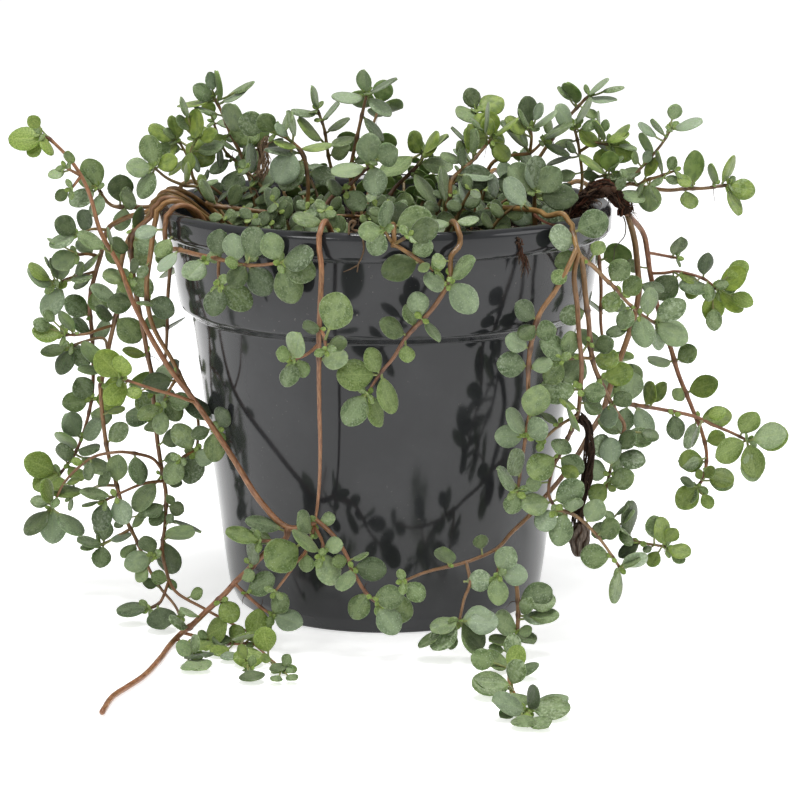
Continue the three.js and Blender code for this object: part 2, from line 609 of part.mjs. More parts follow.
    'leaves': [
      [-47.6, 110.4, 5.5, 'up'], [-39.4, 109, 5], [-30.4, 107.8, 6, 'up'], [-21.4, 106.6, 5],
      [-9.4, 106.4, 5, 'up'],
    ],
  },
  {
    'name': 'stem_rim_middle', 'root': [-86, 44], 'thick': 1.4,
    'route': [['rim', -88], [2, 95.6, -63], [5.7, 93.4, -64], [10.1, 90.3, -63], [13, 88.5, -62]],
    'shoots': [
      [3, [[-0.4, 99.3, -65]]],
      [3.5, [[6, 97.6, -66]]],
    ],
    'leaves': [
      [0.3, 103.6, 7, 'side'], [4.2, 104, 6], [8.2, 102, 8, 'side'], [11.4, 99.4, 6], [-4.4, 98.8, 5.5],
      [-2.2, 95.2, 5.5], [2.6, 90.4, 8, 'side'], [5.8, 89, 5], [10.2, 94.6, 5.5],
    ],
  },
  {
    'name': 'stem_front_right', 'root': [-70, 40], 'thick': 1.6,
    'route': [['rim', -73], [17.5, 92, -62], [17.2, 86.2, -62], [14.4, 80.5, -62], [10.7, 75.7, -62],
      [6, 70.8, -61],
      [2.1, 64.5, -60], [-1, 60.8, -60], [-4.8, 55, -60]],
    'leaves': [
      [12, 86.4, 6], [19.4, 79.6, 8.5], [11.6, 80.2, 5], [21.4, 89.6, 8, 'up'], [12.6, 71.6, 6, 'side'],
      [7.2, 76.8, 5, 'up'], [1.2, 73, 6, 'side'], [-3.4, 64.4, 6], [0.2, 54, 9, 'side'],
      [-8.2, 60, 9, 'side'],
      [-8.4, 49.6, 7.5], [-3.6, 48.6, 7, 'side'], [21.6, 99.6, 5, 'up'], [14.2, 99, 5, 'edge'],
    ],
  },
  {
    'name': 'stem_right_long', 'root': [-6, 46], 'thick': 5, 'end': 4.4,
    'route': [['rim', -4]],
    'leaves': [],
  },
  {
    'name': 'stem_right_a', 'from': ['stem_right_long', 2.8], 'thick': 1.9,
    'route': [[66.2, 97, -1], [67.4, 88, -4], [67.7, 82, -6], [66.7, 75.8, -8], [65.2, 70.7, -11],
      [63.1, 64.3, -14],
      [60.5, 56.4, -18], [58.5, 49.5, -22], [55.4, 44.1, -26], [52.9, 39.3, -30], [49.8, 34.4, -34],
      [46.3, 29.6, -38], [42.7, 25.3, -42], [39.2, 20.9, -45], [34.3, 16, -49], [30.3, 11.5, -52],
      [22.1, 7.8, -55], [11.9, 5.2, -58], [5, 2.4, -64]],
    'shoots': [
      [16, [[31, 7.4, -56], [30.8, 4.1, -58]]],
      [17, [[23.2, 2, -58], [21.6, -2.8, -60], [20.4, -9, -62]]],
    ],
    'leaves': [
      [25.6, 3.8, 6], [33, 9.2, 6.5], [29.1, -0.8, 6.5], [35.4, 2.6, 6], [16, -10.6, 7, 'up'],
      [15.6, -14.4, 7, 'up'],
      [22.8, -14.6, 7, 'up'], [25.6, -9.6, 7], [16.2, 10, 5, 'up'], [43.6, 18.8, 5], [38.2, 26.2, 5],
      [71.6, 83.4, 6],
      [62, 71, 5, 'up'], [8.6, -0.8, 5],
    ],
  },
  {
    'name': 'stem_right_low', 'from': ['stem_right_a', 16], 'thick': 1.3,
    'route': [[35, 4.6, -55], [36.4, -3.4, -57], [36.3, -12, -58], [35.9, -18.3], [34.8, -22],
      [34.2, -26.4],
      [36.4, -31], [39.5, -35]],
    'leaves': [
      [42, -1.4, 7.5], [42.6, -8.4, 6, 'up'], [40, -5, 5], [32, -9.4, 7, 'up'], [31, -15, 5, 'up'],
      [38.6, -15.4, 5.5, 'up'],
      [39.4, -22.6, 6, 'up'], [29.6, -20.4, 6, 'up'], [28.8, -27.4, 8.5, 'up'], [33.2, -33, 8, 'up'],
      [46.2, -34, 8.5, 'up'], [37.4, -38.4, 6, 'up'], [43, -38.6, 7, 'up'], [41, -30.6, 6, 'up'],
    ],
  },
  {
    'name': 'stem_right_b', 'from': ['stem_right_long', 3], 'thick': 1.7,
    'route': [[68.4, 98.8, 5], [69.8, 93.2, 6], [70.7, 87.6, 6], [73, 78, 6], [76.7, 67, 5], [78.9, 60, 4],
      [82.7, 51, 2], [85.4, 44.6, 0], [87, 38.2, -2], [86.4, 32, -4], [84.8, 29, -5]],
    'shoots': [
      [3, [[74.6, 87.7, 5], [78.3, 88.1, 4], [84.9, 86.2, 2], [88.4, 83.4, 1]]],
      [2, [[74.2, 92.4, 9], [77.4, 91.8, 10]]],
    ],
    'leaves': [
      [86.4, 57, 7], [90.6, 48.4, 6], [89.6, 42.6, 5], [82.4, 42.4, 6, 'side'], [82, 36, 6],
      [91.5, 31.4, 6.5], [81.4, 25.4, 6], [78.2, 95.6, 5], [85.4, 90.8, 5], [94.1, 86.6, 6],
      [93.4, 79.4, 6], [87.6, 77.4, 6], [81.2, 84, 6, 'up'], [72.6, 63.4, 5, 'up'], [81.6, 66, 5],
    ],
  },
  {
    'name': 'stem_right_c', 'from': ['stem_right_a', 7.5], 'thick': 1.3,
    'route': [[61.7, 52.2, -20], [66.4, 51.8, -17], [74.3, 50.5, -13], [83.2, 48.6, -10], [88.5, 46.2, -9],
      [93.7, 44, -9], [97.9, 41.9, -9]],
    'leaves': [
      [98.4, 47.4, 6], [104.4, 43, 9], [99.3, 35.4, 8], [92.2, 39, 7.5, 'side'], [69.8, 46.4, 7.5],
      [71.6, 55.3, 6, 'up'],
      [66.4, 57.6, 6.5], [64.4, 47.4, 6], [78.6, 44.6, 5, 'up'],
    ],
  },
  {
    'name': 'stem_right_top', 'from': ['stem_right_long', 2.2], 'thick': 1.3,
    'route': [[64.6, 111.6, 0], [69.4, 110.6, 1], [74.9, 109.9, 2], [79.4, 110.3, 2], [84.4, 110.4, 2],
      [88, 110.9, 2],
      [91, 111.3, 2]],
    'shoots': [
      [1.5, [[69.2, 112.6, -3], [72.6, 113.6, -5], [76.4, 115, -6]]],
      [1, [[66.6, 114.6, -2], [69.3, 117.7, -2], [72.8, 121.9, -2], [75.3, 126, -2]]],
    ],
    'leaves': [
      [86.6, 114.7, 5, 'up'], [91, 116, 7, 'side'], [95.6, 110, 5], [92.4, 106, 6.5, 'side'],
      [72.4, 117.6, 6, 'up'],
      [81.6, 116.6, 8, 'edge'], [80.6, 106.8, 5], [70.2, 106.8, 5.5, 'up'], [66.4, 107.6, 5, 'up'],
      [68.8, 122.6, 6, 'up'], [71.6, 126.8, 5, 'edge'], [80.3, 127.4, 7, 'up'],
    ],
  },
  {
    'name': 'stem_right_front', 'root': [-28, 22], 'thick': 1.7,
    'route': [[27.7, 104.9, -16], [31.6, 105.2, -20], [40.3, 104.4, -31], ['rim', -41], [51, 94.4, -45],
      [52.2, 92, -44], [55.4, 89.5, -39], [58.7, 86.1, -34], [61.4, 83.6, -30], [64.6, 79.9, -26],
      [68.5, 76.5, -23],
      [72.5, 74, -21]],
    'leaves': [
      [46, 98.4, 8], [56.2, 101.4, 6], [46.8, 91.6, 5.5], [60.4, 79.4, 5], [66.4, 84.6, 5],
      [64.4, 75, 5.5], [70.6, 80.6, 6.5], [75.6, 79.4, 7.5], [69.4, 71, 7], [77.7, 72, 8], [73, 69.2, 5],
      [62.6, 88.6, 6], [24.4, 101.4, 6, 'up'],
    ],
  },
  {
    'name': 'stem_right_d', 'from': ['stem_right_front', 8], 'thick': 1.6,
    'route': [[53, 86.8, -43], [53.6, 80.7, -43], [54.5, 74.5, -42], [55.1, 67.4, -40], [56.4, 61.7, -38],
      [59.2, 55.6, -36], [62.2, 50, -34], [64.6, 46, -33], [63.4, 41, -33], [61.6, 36, -34],
      [60.2, 30, -35]],
    'shoots': [
      [4.5, [[51, 64.6, -46], [47.2, 64, -49]]],
    ],
    'leaves': [
      [43.6, 65.6, 7], [49.6, 60.6, 6], [46, 59.6, 5.5], [49.4, 69, 6], [58.4, 70.8, 5], [50.3, 75, 6],
      [60.4, 64, 6],
      [64, 60.4, 5.5], [56.4, 53, 5.5], [64.4, 53.6, 5], [60, 46, 6, 'side'], [69, 42.6, 6.5],
      [67.4, 36.6, 6],
      [58.4, 40.6, 6], [56.6, 33.8, 5], [65, 31.4, 6], [58.6, 26.4, 5.5],
    ],
  },
  {
    'name': 'stem_right_e', 'from': ['stem_right_d', 11], 'thick': 1.1,
    'route': [[58.8, 24.5, -37], [60.6, 20.4, -37], [64.5, 15.8, -37], [68.7, 13.6, -37], [72.4, 12.8, -37],
      [76.6, 12.2, -37]],
    'leaves': [
      [66.4, 11, 6, 'up'], [74.7, 17.4, 6.5], [81, 10.6, 5], [66.6, 21, 8, 'side'], [58.6, 16.4, 5],
    ],
  },
  {
    'name': 'stem_right_f', 'from': ['stem_right_front', 7.5], 'thick': 1.5,
    'route': [[50.4, 87, -47], [51.4, 78.3, -47], [52, 70.3, -48], [52.8, 62.8, -48], [52.6, 57, -48],
      [51.9, 48.9, -47],
      [48.8, 41.4, -47], [45.4, 34, -49], [44.4, 27, -51], [46.6, 22.6, -52]],
    'shoots': [
      [6, [[47, 46, -49], [42.6, 42, -50]]],
      [10, [[50.4, 21.6, -52], [54.6, 18.6, -51], [59.3, 13.3, -50], [64, 6.4, -48]]],
    ],
    'leaves': [
      [45, 55.8, 7], [56.8, 55, 5.5], [47.6, 50.6, 8, 'up'], [43.8, 47, 5, 'up'], [46.6, 37.6, 6],
      [40.6, 36, 8],
      [51, 35, 6], [40, 23.8, 6], [51, 28, 7], [43.6, 19.4, 6], [52.6, 24.6, 5.5], [47.6, 16.4, 7.5],
      [57, 22.6, 6], [62.8, 0.2, 7.5, 'side'], [68.6, 8.6, 6, 'side'], [56.4, 9.6, 6, 'side'],
      [61.6, 17.6, 5],
    ],
  },
  {
    'name': 'root_plug', 'from': ['stem_right_f', 6], 'thick': 4.6, 'end': 3.4,
    'route': [[54.6, 45.4, -44], [55.4, 40.4, -42], [54.8, 33, -42], [53, 25, -43], [52.4, 18.2, -44],
      [52.8, 10, -44]],
    'leaves': [],
  },
  {
    'name': 'stem_right_g', 'from': ['stem_right_front', 7], 'thick': 1.5,
    'route': [[48, 87.7, -49], [45.2, 82.5, -50], [41, 75.8, -51], [38.8, 66, -51], [38.5, 57, -51],
      [39, 50, -50],
      [38, 43, -50], [37, 36, -51], [36, 28, -52]],
    'leaves': [
      [43.4, 73.4, 5], [40.4, 69.8, 5.5], [34.4, 69, 5], [33.2, 62.8, 7], [42.2, 60.6, 5], [40.6, 53.6, 8],
      [34.6, 47.4, 7, 'up'], [41.6, 45.4, 6], [33, 43, 6.5], [34.6, 37.7, 7, 'up'], [32.4, 31.8, 6.5, 'up'],
      [34.6, 24, 5], [36.8, 78, 5],
    ],
  },
  {
    'name': 'stem_top_a', 'root': [160, 35], 'thick': 1.3,
    'route': [[-35.5, 112, 13], [-38.4, 120, 14], [-40.7, 124.6, 15], [-43, 130.5, 15], [-45, 134.5, 15]],
    'leaves': [
      [-44.2, 138.3, 7, 'up'], [-51.4, 132.4, 7, 'edge'], [-37.8, 135.6, 7, 'edge'], [-41, 130.4, 8],
      [-48.6, 136, 5],
      [-36.4, 124.6, 7], [-34.4, 113, 5], [-45.4, 121.6, 5],
    ],
  },
  {
    'name': 'stem_top_b', 'root': [164, 46], 'thick': 1.2,
    'route': [[-50.4, 112.2, 11], [-51.7, 117.8, 10], [-54.6, 123.2, 9]],
    'shoots': [
      [2, [[-51, 121, 6], [-49.8, 123.8, 5]]],
    ],
    'leaves': [
      [-60, 125.5, 5.5], [-55.4, 127.6, 5], [-50.5, 128, 5], [-46.2, 124.4, 5], [-57.6, 119.6, 6],
      [-47.2, 118.6, 5],
      [-55.4, 115.4, 5, 'edge'],
    ],
  },
  {
    'name': 'stem_top_c', 'root': [186, 40], 'thick': 1.2,
    'route': [[-47.6, 109.6, -4], [-53, 111.2, -5], [-57.4, 112.9, -6], [-61, 115.8, -7]],
    'leaves': [
      [-61.9, 121, 7.5], [-65.6, 117, 6], [-57, 117.2, 5], [-63.4, 110.6, 6.5], [-52.4, 115, 5, 'up'],
    ],
  },
  {
    'name': 'stem_top_d', 'root': [152, 41], 'thick': 1.1,
    'route': [[-38, 112, 22], [-39, 116.9, 22], [-41.8, 119.6, 22], [-43.6, 122.8, 22], [-45.2, 127.8, 22]],
    'leaves': [
      [-44.2, 115.6, 5], [-49, 124.4, 5], [-41.6, 126.6, 5, 'up'], [-34.8, 118, 5], [-40, 110.6, 6],
    ],
  },
  {
    'name': 'stem_top_e', 'root': [222, 28], 'thick': 1.3,
    'route': [[-20.4, 109.9, -20], [-20.8, 115, -20], [-21.4, 118.6, -20], [-23.4, 121.6, -20],
      [-26.3, 123.9, -20],
      [-28.6, 125, -20]],
    'leaves': [
      [-25.2, 113.4, 8], [-17.8, 121.4, 7.5, 'edge'], [-31.6, 128, 5], [-25.6, 128, 6, 'up'],
      [-28.4, 120.4, 7, 'up'],
      [-15.8, 113.6, 5],
    ],
  },
  {
    'name': 'stem_top_f', 'root': [120, 26], 'thick': 1.2,
    'route': [[-13.5, 112, 18], [-15, 119, 14], [-16, 125.8, 12], [-17.7, 131, 12]],
    'leaves': [
      [-18.6, 134.8, 6, 'up'], [-22, 130.5, 6, 'up'], [-13.6, 131, 6, 'up'], [-20.4, 126.4, 8, 'up'],
      [-11.6, 127.2, 6, 'edge'], [-11, 120.6, 5], [-18.8, 115, 5],
    ],
  },
  {
    'name': 'stem_top_g', 'root': [-118, 36], 'thick': 1.3,
    'route': [[-15.4, 106.4, -31], [-10.7, 110, -30], [-6.2, 114.4, -30], [-2.6, 117.7, -30]],
    'leaves': [
      [-4.4, 121.8, 7, 'up'], [1, 121.4, 5], [-10.8, 114.6, 7, 'up'], [-13.8, 110.6, 5],
      [-7.4, 106.8, 5.5], [-2.4, 111.8, 7],
    ],
  },
  {
    'name': 'stem_top_h', 'root': [130, 13], 'thick': 1.3,
    'route': [[-9, 110, 8], [-8.9, 116.8, 6], [-7, 125.9, 5], [-5.4, 132.8, 5], [-4.8, 135.5, 5]],
    'leaves': [
      [-10.6, 134.4, 7.5, 'up'], [-5.4, 139.4, 5], [0.4, 137.4, 7, 'up'], [-1, 131.4, 6.5, 'up'],
      [-2.6, 125.6, 7, 'edge'],
      [-11.4, 122.6, 6, 'up'], [-4.6, 118.6, 5],
    ],
  },
  {
    'name': 'stem_top_i', 'root': [-80, 7], 'thick': 1.3,
    'route': [[0.6, 106, -6], [2.4, 110.3, -6], [6.9, 114.7, -6], [9.5, 117.7, -6], [10.2, 120.2, -6]],
    'leaves': [
      [14, 122.2, 7.5, 'up'], [7.4, 123.4, 5], [14, 116.2, 8, 'side'], [3, 115.8, 10, 'up'],
      [-2.4, 107.6, 6, 'up'],
      [10.4, 110, 8.5, 'side'], [6, 106.4, 5],
    ],
  },
  {
    'name': 'stem_top_j', 'root': [-58, 24], 'thick': 1.4,
    'route': [[16.8, 107, -22], [17.7, 112.7, -20], [22.5, 117.2, -16], [26, 121.1, -12], [28.4, 124, -10]],
    'leaves': [
      [27.4, 128.4, 5], [32.6, 126.8, 7, 'edge'], [22.4, 124, 7, 'up'], [31, 119.6, 5], [24.4, 112.8, 7.5],
      [21.4, 106.6, 6, 'up'],
    ],
  },
  {
    'name': 'stem_top_k', 'root': [-22, 42], 'thick': 1.5,
    'route': [[39.6, 105.4, -18], [39.6, 109.4, -21]],
    'leaves': [
      [39.6, 115.4, 7.5], [34.4, 114.4, 5.5], [33.4, 109.4, 8], [46.4, 108, 8.5], [35.4, 104.2, 7],
      [44.4, 113.6, 5.5],
      [44.2, 103.4, 5],
    ],
  },
  {
    'name': 'stem_top_l', 'root': [20, 25], 'thick': 1.3,
    'route': [[26, 112, 6], [28.6, 117.4, 4], [33.6, 119.2, 3], [38.2, 119.8, 3], [41.4, 122.6, 3]],
    'shoots': [
      [4, [[38.6, 124, 1], [38, 126.4, 0]]],
    ],
    'leaves': [
      [37.4, 131, 8], [46, 125.6, 8, 'edge'], [45.6, 120.6, 7, 'up'], [33.8, 124.4, 6, 'up'],
      [42.6, 128.8, 7, 'edge'],
      [29.4, 123.4, 5], [31.8, 114.6, 5, 'up'], [33, 128.6, 5],
    ],
  },
  {
    'name': 'stem_top_m', 'root': [8, 48], 'thick': 1.2,
    'route': [[51.9, 110, 8], [51.3, 120.1, 8], [49.7, 127, 8]],
    'shoots': [
      [2, [[55.4, 122.5, 6], [59, 122, 5]]],
    ],
    'leaves': [
      [52.6, 131.4, 7, 'edge'], [46.2, 130.4, 5], [56.4, 126.4, 5, 'up'], [62.4, 125.2, 6, 'up'],
      [63.4, 119.8, 5],
      [57.2, 118, 5], [46.4, 121.6, 5, 'up'],
    ],
  },
  {
    'name': 'stem_top_n', 'root': [32, 40], 'thick': 1.3,
    'route': [[38, 113, 20], [41, 119, 19], [47.3, 128, 18], [51.1, 132.4, 18], [53.3, 134.7, 18]],
    'leaves': [
      [48.6, 136, 6, 'edge'], [56.5, 137.5, 6, 'edge'], [58.2, 133.6, 6, 'edge'], [37, 119, 5],
      [43, 127, 5, 'up'],
    ],
  },
  {
    'name': 'stem_top_o', 'root': [2, 49], 'thick': 1.1,
    'route': [[54.2, 111.6, 2], [57.2, 113.6, 2], [60, 114, 1]],
    'leaves': [
      [53.8, 117, 6.5, 'up'], [59.4, 118, 5, 'up'], [64.8, 114.2, 6, 'up'], [50.4, 113.6, 5, 'up'],
      [61.4, 110.8, 5],
    ],
  },
];

// The stems at the back, which follow the same habit: some trail over the rim, some stand in the pot
function backStems() {
  const draw = drawsFrom(SEED);
  const found = [];
  for (let k = 0; k < BACK_TRAILING; k += 1) {
    const angle = 26 + k * (128 / (BACK_TRAILING - 1)) + (draw() - 0.5) * 8;
    const long = 34 + draw() * 52;
    const sway = (draw() - 0.5) * 16;
    const route = [['rim', angle]];
    for (let i = 1; i <= 3; i += 1) {
      const part = i / 3;
      const out = RIM_RADIUS + 4.5 + 5 * part * draw();
      route.push(['round', angle + sway * part ** 2, out, 98 - long * part]);
    }
    const pairs = [[3.8, 7], [4.6, 6.5], [5.4, 6.5]];
    found.push({ name: `stem_back_${k + 1}`, root: [angle + 3, 45], thick: 1.6, route, pairs, tip: 6.5 });
  }
  for (let k = 0; k < BACK_STANDING; k += 1) {
    const angle = 40 + k * (104 / (BACK_STANDING - 1));
    const r = 24 + draw() * 14;
    const high = 118 + draw() * 12;
    const route = [
      ['round', angle + 6, r + 2, (high + SOIL_TOP) / 2 + 2],
      ['round', angle + 14 * (draw() - 0.5), r + 6, high],
    ];
    const pairs = [[1.2, 6.5]];
    found.push({ name: `stem_rear_${k + 1}`, root: [angle, r], thick: 1.3, route, pairs, tip: 6.5 });
  }
  return found;
}

// One step of a route: over the rim, round the pot at a radius and height, or as it is seen from in front
function stepPoints(step, radius) {
  if (step[0] === 'rim') return overRim(step[1], radius);
  if (step[0] !== 'round') return [seen(step, radius)];
  const angle = (step[1] * Math.PI) / 180;
  return [clearOfPot([step[2] * Math.cos(angle), step[2] * Math.sin(angle), step[3]], radius)];
}

// The place on a stem's bars that a leaf at a seen place grows from: where its petiole has a natural length
function placeFor(bars, across, up, long) {
  let best = null;
  for (const bar of bars) {
    const first = bar.sunk ? 0.5 : 0;
    for (let t = first; t <= bar.last; t += 0.5) {
      const origin = bar.line(t);
      const near = (EYE_AWAY + origin[1]) / EYE_AWAY;
      const seenAcross = origin[0] / near;
      const seenUp = EYE_UP + (origin[2] - EYE_UP) / near;
      const far = Math.hypot(across - seenAcross, up - seenUp);
      const miss = Math.abs(far - long * PLACE_PART);
      if (best === null || miss < best.miss) best = { origin, sunk: bar.wideAt(t) * ROOT_PART, miss };
    }
  }
  return best;
}

// A stem or shoot along a route: its solid, and line, which gives the places on its middle line
function makeBar(route, bends, wide, end, sides, sunk) {
  const places = ringPlaces(route, bends);
  const centres = places.map((t) => clearOfPot(route.at(t), wide / 2));
  const wideAt = (t) => wide + (Math.min(end, wide) - wide) * (t / route.last) ** 2;
  const radii = places.map((t) => wideAt(t) / 2);
  const tipInset = TIP_INSET / Math.max(size(sub(route.at(route.last), route.at(route.last - 1))), 1);
  const line = (t) => {
    const held = Math.min(Math.max(t, 0), route.last - tipInset);
    const next = Math.max(places.findIndex((place) => place >= held), 1);
    const part = (held - places[next - 1]) / (places[next] - places[next - 1]);
    return add(centres[next - 1], times(sub(centres[next], centres[next - 1]), part));
  };
  const all = sunk ? [sunk, ...centres] : centres;
  const solid = bentBar(all, sunk ? [wide / 2, ...radii] : radii, sides);
  return { last: route.last, line, wideAt, solid, sunk };
}

// Lays out one stem: its route, its side shoots' routes and its leaves' frames
function layOut(stem, index, laid) {
  const draw = drawsFrom(SEED + 17 * (index + 1));
  const radius = stem.thick / 2;
  let sunk = null;
  const points = [];
  if (stem.root) {
    const angle = (stem.root[0] * Math.PI) / 180;
    const [x, y] = [stem.root[1] * Math.cos(angle), stem.root[1] * Math.sin(angle)];
    sunk = [x, y, soilHeight(x, y) - ROOT_DEPTH];
    points.push([x, y, soilHeight(x, y) + ROOT_RISE]);
  } else {
    points.push(laid[stem.from[0]].line(stem.from[1]));
  }
  const bends = [];
  for (const step of stem.route) {
    if (step[0] === 'rim') bends.push(points.length, points.length + 1, points.length + 2);
    points.push(...stepPoints(step, radius));
  }
  const sides = stem.thick > THICK_STEM ? THICK_SIDES : STEM_SIDES;
  const main = makeBar(smoothRoute(points), bends, stem.thick, stem.end || TIP_WIDTH, sides, sunk);
  const bars = [main];
  for (const [at, way] of stem.shoots || []) {
    const shoot = smoothRoute([main.line(at), ...way.map((step) => seen(step, SHOOT_WIDTH / 2))]);
    bars.push(makeBar(shoot, [], SHOOT_WIDTH, TIP_WIDTH, SHOOT_SIDES, null));
  }
  const leaves = [];
  for (const [across, up, long, name] of stem.leaves || []) {
    const { origin, sunk: rooted } = placeFor(bars, across, up, long);
    const depth = origin[1] - 1.5 + 3 * (draw() - 0.5);
    let middle = seen([across, up, depth], 0.3);
    if (middle[2] < LEAF_LOW) middle = seen([across, up], LEAF_LOW - LYING_CLEAR);
    const jitter = [draw() - 0.5, draw() - 0.5, draw() - 0.5];
    const facing = unit(add(unit(name ? FACES[name] : lightAt(origin)), times(jitter, name ? 0.2 : 0.5)));
    const wide = long * (LEAF_WIDE - 0.1 * draw());
    leaves.push(leafToward(origin, middle, facing, long, wide, rooted));
  }
  const opposite = (t, long, spin, lift) => {
    const origin = main.line(t);
    const facing = unit(add(unit(lightAt(origin)), times([draw() - 0.5, draw() - 0.5, draw() - 0.5], 0.5)));
    const right = unit(cross(UP, facing));
    const over = cross(facing, right);
    for (const half of [0, Math.PI]) {
      const turn = spin + half;
      const out = add(times(right, Math.cos(turn)), times(over, Math.sin(turn)));
      const grown = long * (0.88 + 0.24 * draw());
      const reach = grown * (0.5 + PETIOLE_PART);
      const middle = add(origin, add(times(out, reach), times(facing, reach * lift)));
      leaves.push(leafToward(origin, middle, facing, grown, grown * LEAF_WIDE, main.wideAt(t) * ROOT_PART));
    }
  };
  for (const [t, long] of stem.pairs || []) opposite(t, long, draw() * Math.PI, 0.3);
  if (stem.tip) {
    opposite(main.last, stem.tip, 0.3, 0.25);
    opposite(main.last, stem.tip * 0.75, 0.3 + Math.PI / 2, 0.6);
  }
  const node = stem.root ? stem.name : laid[stem.from[0]].node;
  return { name: stem.name, node, line: main.line, bars, leaves, sunk, radius, top: points[0] };
}

// The hole in the soil that a stem stands in
function rootHole(stem) {
  const { top } = stem;
  const wide = (stem.radius + HOLE_CLEAR) / Math.cos(Math.PI / STEM_SIDES);
  const low = [stem.sunk[0], stem.sunk[1], stem.sunk[2] - GAP];
  return bentBar([low, [top[0], top[1], top[2] + 3]], [wide, wide], STEM_SIDES);
}

function boxed(solid) {
  const box = solid.boundingBox();
  return { solid, low: box.min, high: box.max };
}

function crosses(a, b) {
  if (![0, 1, 2].every((k) => a.low[k] < b.high[k] && b.low[k] < a.high[k])) return false;
  return a.solid.intersect(b.solid).volume() > 1e-4;
}

// A leaf's solid, turned until it is clear of all else, or null where it never is
function placedLeaf(leaf, own, others, fixed) {
  for (const way of TURNS) {
    const tried = turned(leaf, way);
    const room = boxed(leafRoom(tried));
    const whole = boxed(leafSolid(tried));
    const blocked = room.low[2] < LYING_CLEAR
      || own.bars.some((bar) => crosses(room, bar))
      || own.rooms.some((other) => crosses(room, other))
      || [...fixed, ...others].some((other) => crosses(room, other) || crosses(whole, other));
    if (!blocked) return { room, whole };
  }
  return null;
}

// The solids fused into one body, with any hollow that they seal filled and any loose scrap left out
function fused(parts) {
  const whole = parts.reduce((sum, part) => sum.add(part)).simplify(FUSE_FINE);
  return whole.decompose().reduce((most, piece) => (piece.volume() > most.volume() ? piece : most));
}

function build() {
  const laid = {};
  [...STEMS, ...backStems()].forEach((stem, index) => {
    laid[stem.name] = layOut(stem, index, laid);
  });
  const stems = Object.values(laid);
  const pot = makePot();
  let soil = makeSoil();
  for (const stem of stems) if (stem.sunk) soil = soil.subtract(rootHole(stem));

  const nodes = {};
  for (const stem of stems) {
    nodes[stem.node] = nodes[stem.node] || { bars: [], leaves: [], rooms: [] };
    for (const bar of stem.bars) nodes[stem.node].bars.push(boxed(bar.solid));
  }
  const fixed = [boxed(pot), boxed(soil)];
  for (const stem of stems) {
    const own = nodes[stem.node];
    const rest = Object.values(nodes).filter((node) => node !== own);
    const others = rest.flatMap((node) => [...node.bars, ...node.leaves]);
    for (const leaf of stem.leaves) {
      const placed = placedLeaf(leaf, own, others, fixed);
      if (placed) {
        own.rooms.push(placed.room);
        own.leaves.push(placed.whole);
      }
    }
  }

  const group = new THREE.Group();
  const show = (name, solid, material) => {
    const mesh = new THREE.Mesh(geometryOf(solid), material);
    mesh.name = name;
    group.add(mesh);
  };
  show('pot', pot, materials.pot);
  show('soil', soil, materials.soil);
  for (const [name, node] of Object.entries(nodes)) {
    const parts = [...node.bars, ...node.leaves].map((part) => part.solid);
    show(name, fused(parts), materials.plant);
  }
  return group;
}

export default build();
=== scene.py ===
"""The finished look of a potted trailing pilea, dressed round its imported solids. Lengths are in millimetres
until a mesh is made from them, in the solids' own frame: +Z up, the front towards -Y and the origin at the
middle of the pot's underside."""
import itertools
import math

import bmesh
import bpy
import numpy as np
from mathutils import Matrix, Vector, noise


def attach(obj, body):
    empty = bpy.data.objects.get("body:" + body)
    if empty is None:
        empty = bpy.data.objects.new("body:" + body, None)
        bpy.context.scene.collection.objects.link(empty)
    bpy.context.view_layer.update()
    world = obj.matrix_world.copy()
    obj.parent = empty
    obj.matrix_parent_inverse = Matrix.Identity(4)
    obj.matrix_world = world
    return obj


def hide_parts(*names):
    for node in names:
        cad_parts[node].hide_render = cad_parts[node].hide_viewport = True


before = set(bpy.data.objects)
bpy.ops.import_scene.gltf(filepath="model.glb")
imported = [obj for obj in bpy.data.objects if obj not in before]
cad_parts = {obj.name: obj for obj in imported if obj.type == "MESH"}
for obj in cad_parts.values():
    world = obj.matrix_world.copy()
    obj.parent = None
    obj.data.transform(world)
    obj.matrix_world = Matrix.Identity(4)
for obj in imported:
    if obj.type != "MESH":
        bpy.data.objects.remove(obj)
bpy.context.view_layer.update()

MM = 0.001

# The pot, as in the part's source
POT_HEIGHT = 107
RIM_RADIUS = 60
LIP_DROP = 7.3
COLLAR_RADIUS = 57
COLLAR_FOOT_Z = 78.5
BODY_TOP_RADIUS = 51.6
BODY_LOW_RADIUS = 43
BODY_LOW_Z = 8
FOOT_LINE_Z = 4
FOOT_RADIUS = 42.4
BASE_RADIUS = 40.6
WALL = 1.2
FLOOR = 1.8
DRAIN_HOLES = 8
DRAIN_RADIUS = 3.5
DRAIN_RING = 27
POT_SIDES = 160

# The potting mix
SOIL_TOP = 97
SOIL_ROUGH = 1.1
SOIL_CLEAR = 0.55
SOIL_SIDES = 120
CRUMBS = 2200
FIBRES = 260
SPRIGS = 52

# The eye that the routes are read by, and its lens
EYE_AWAY = 686
EYE_UP = 200
EYE_TILT = 0.211
IMAGE_WIDTH = 800
FOCAL_PIXELS = 2603.7
AXIS_PIXELS = 14.8
SENSOR_WIDTH = 36

# Stems
SHOOT_WIDTH = 1.1
TIP_WIDTH = 0.8
STEM_STEP = 1.1
ROOT_DEPTH = 7
ROOT_RISE = 2
LYING_CLEAR = 0.35
POT_CLEAR = 0.95
PLACE_PART = 0.78

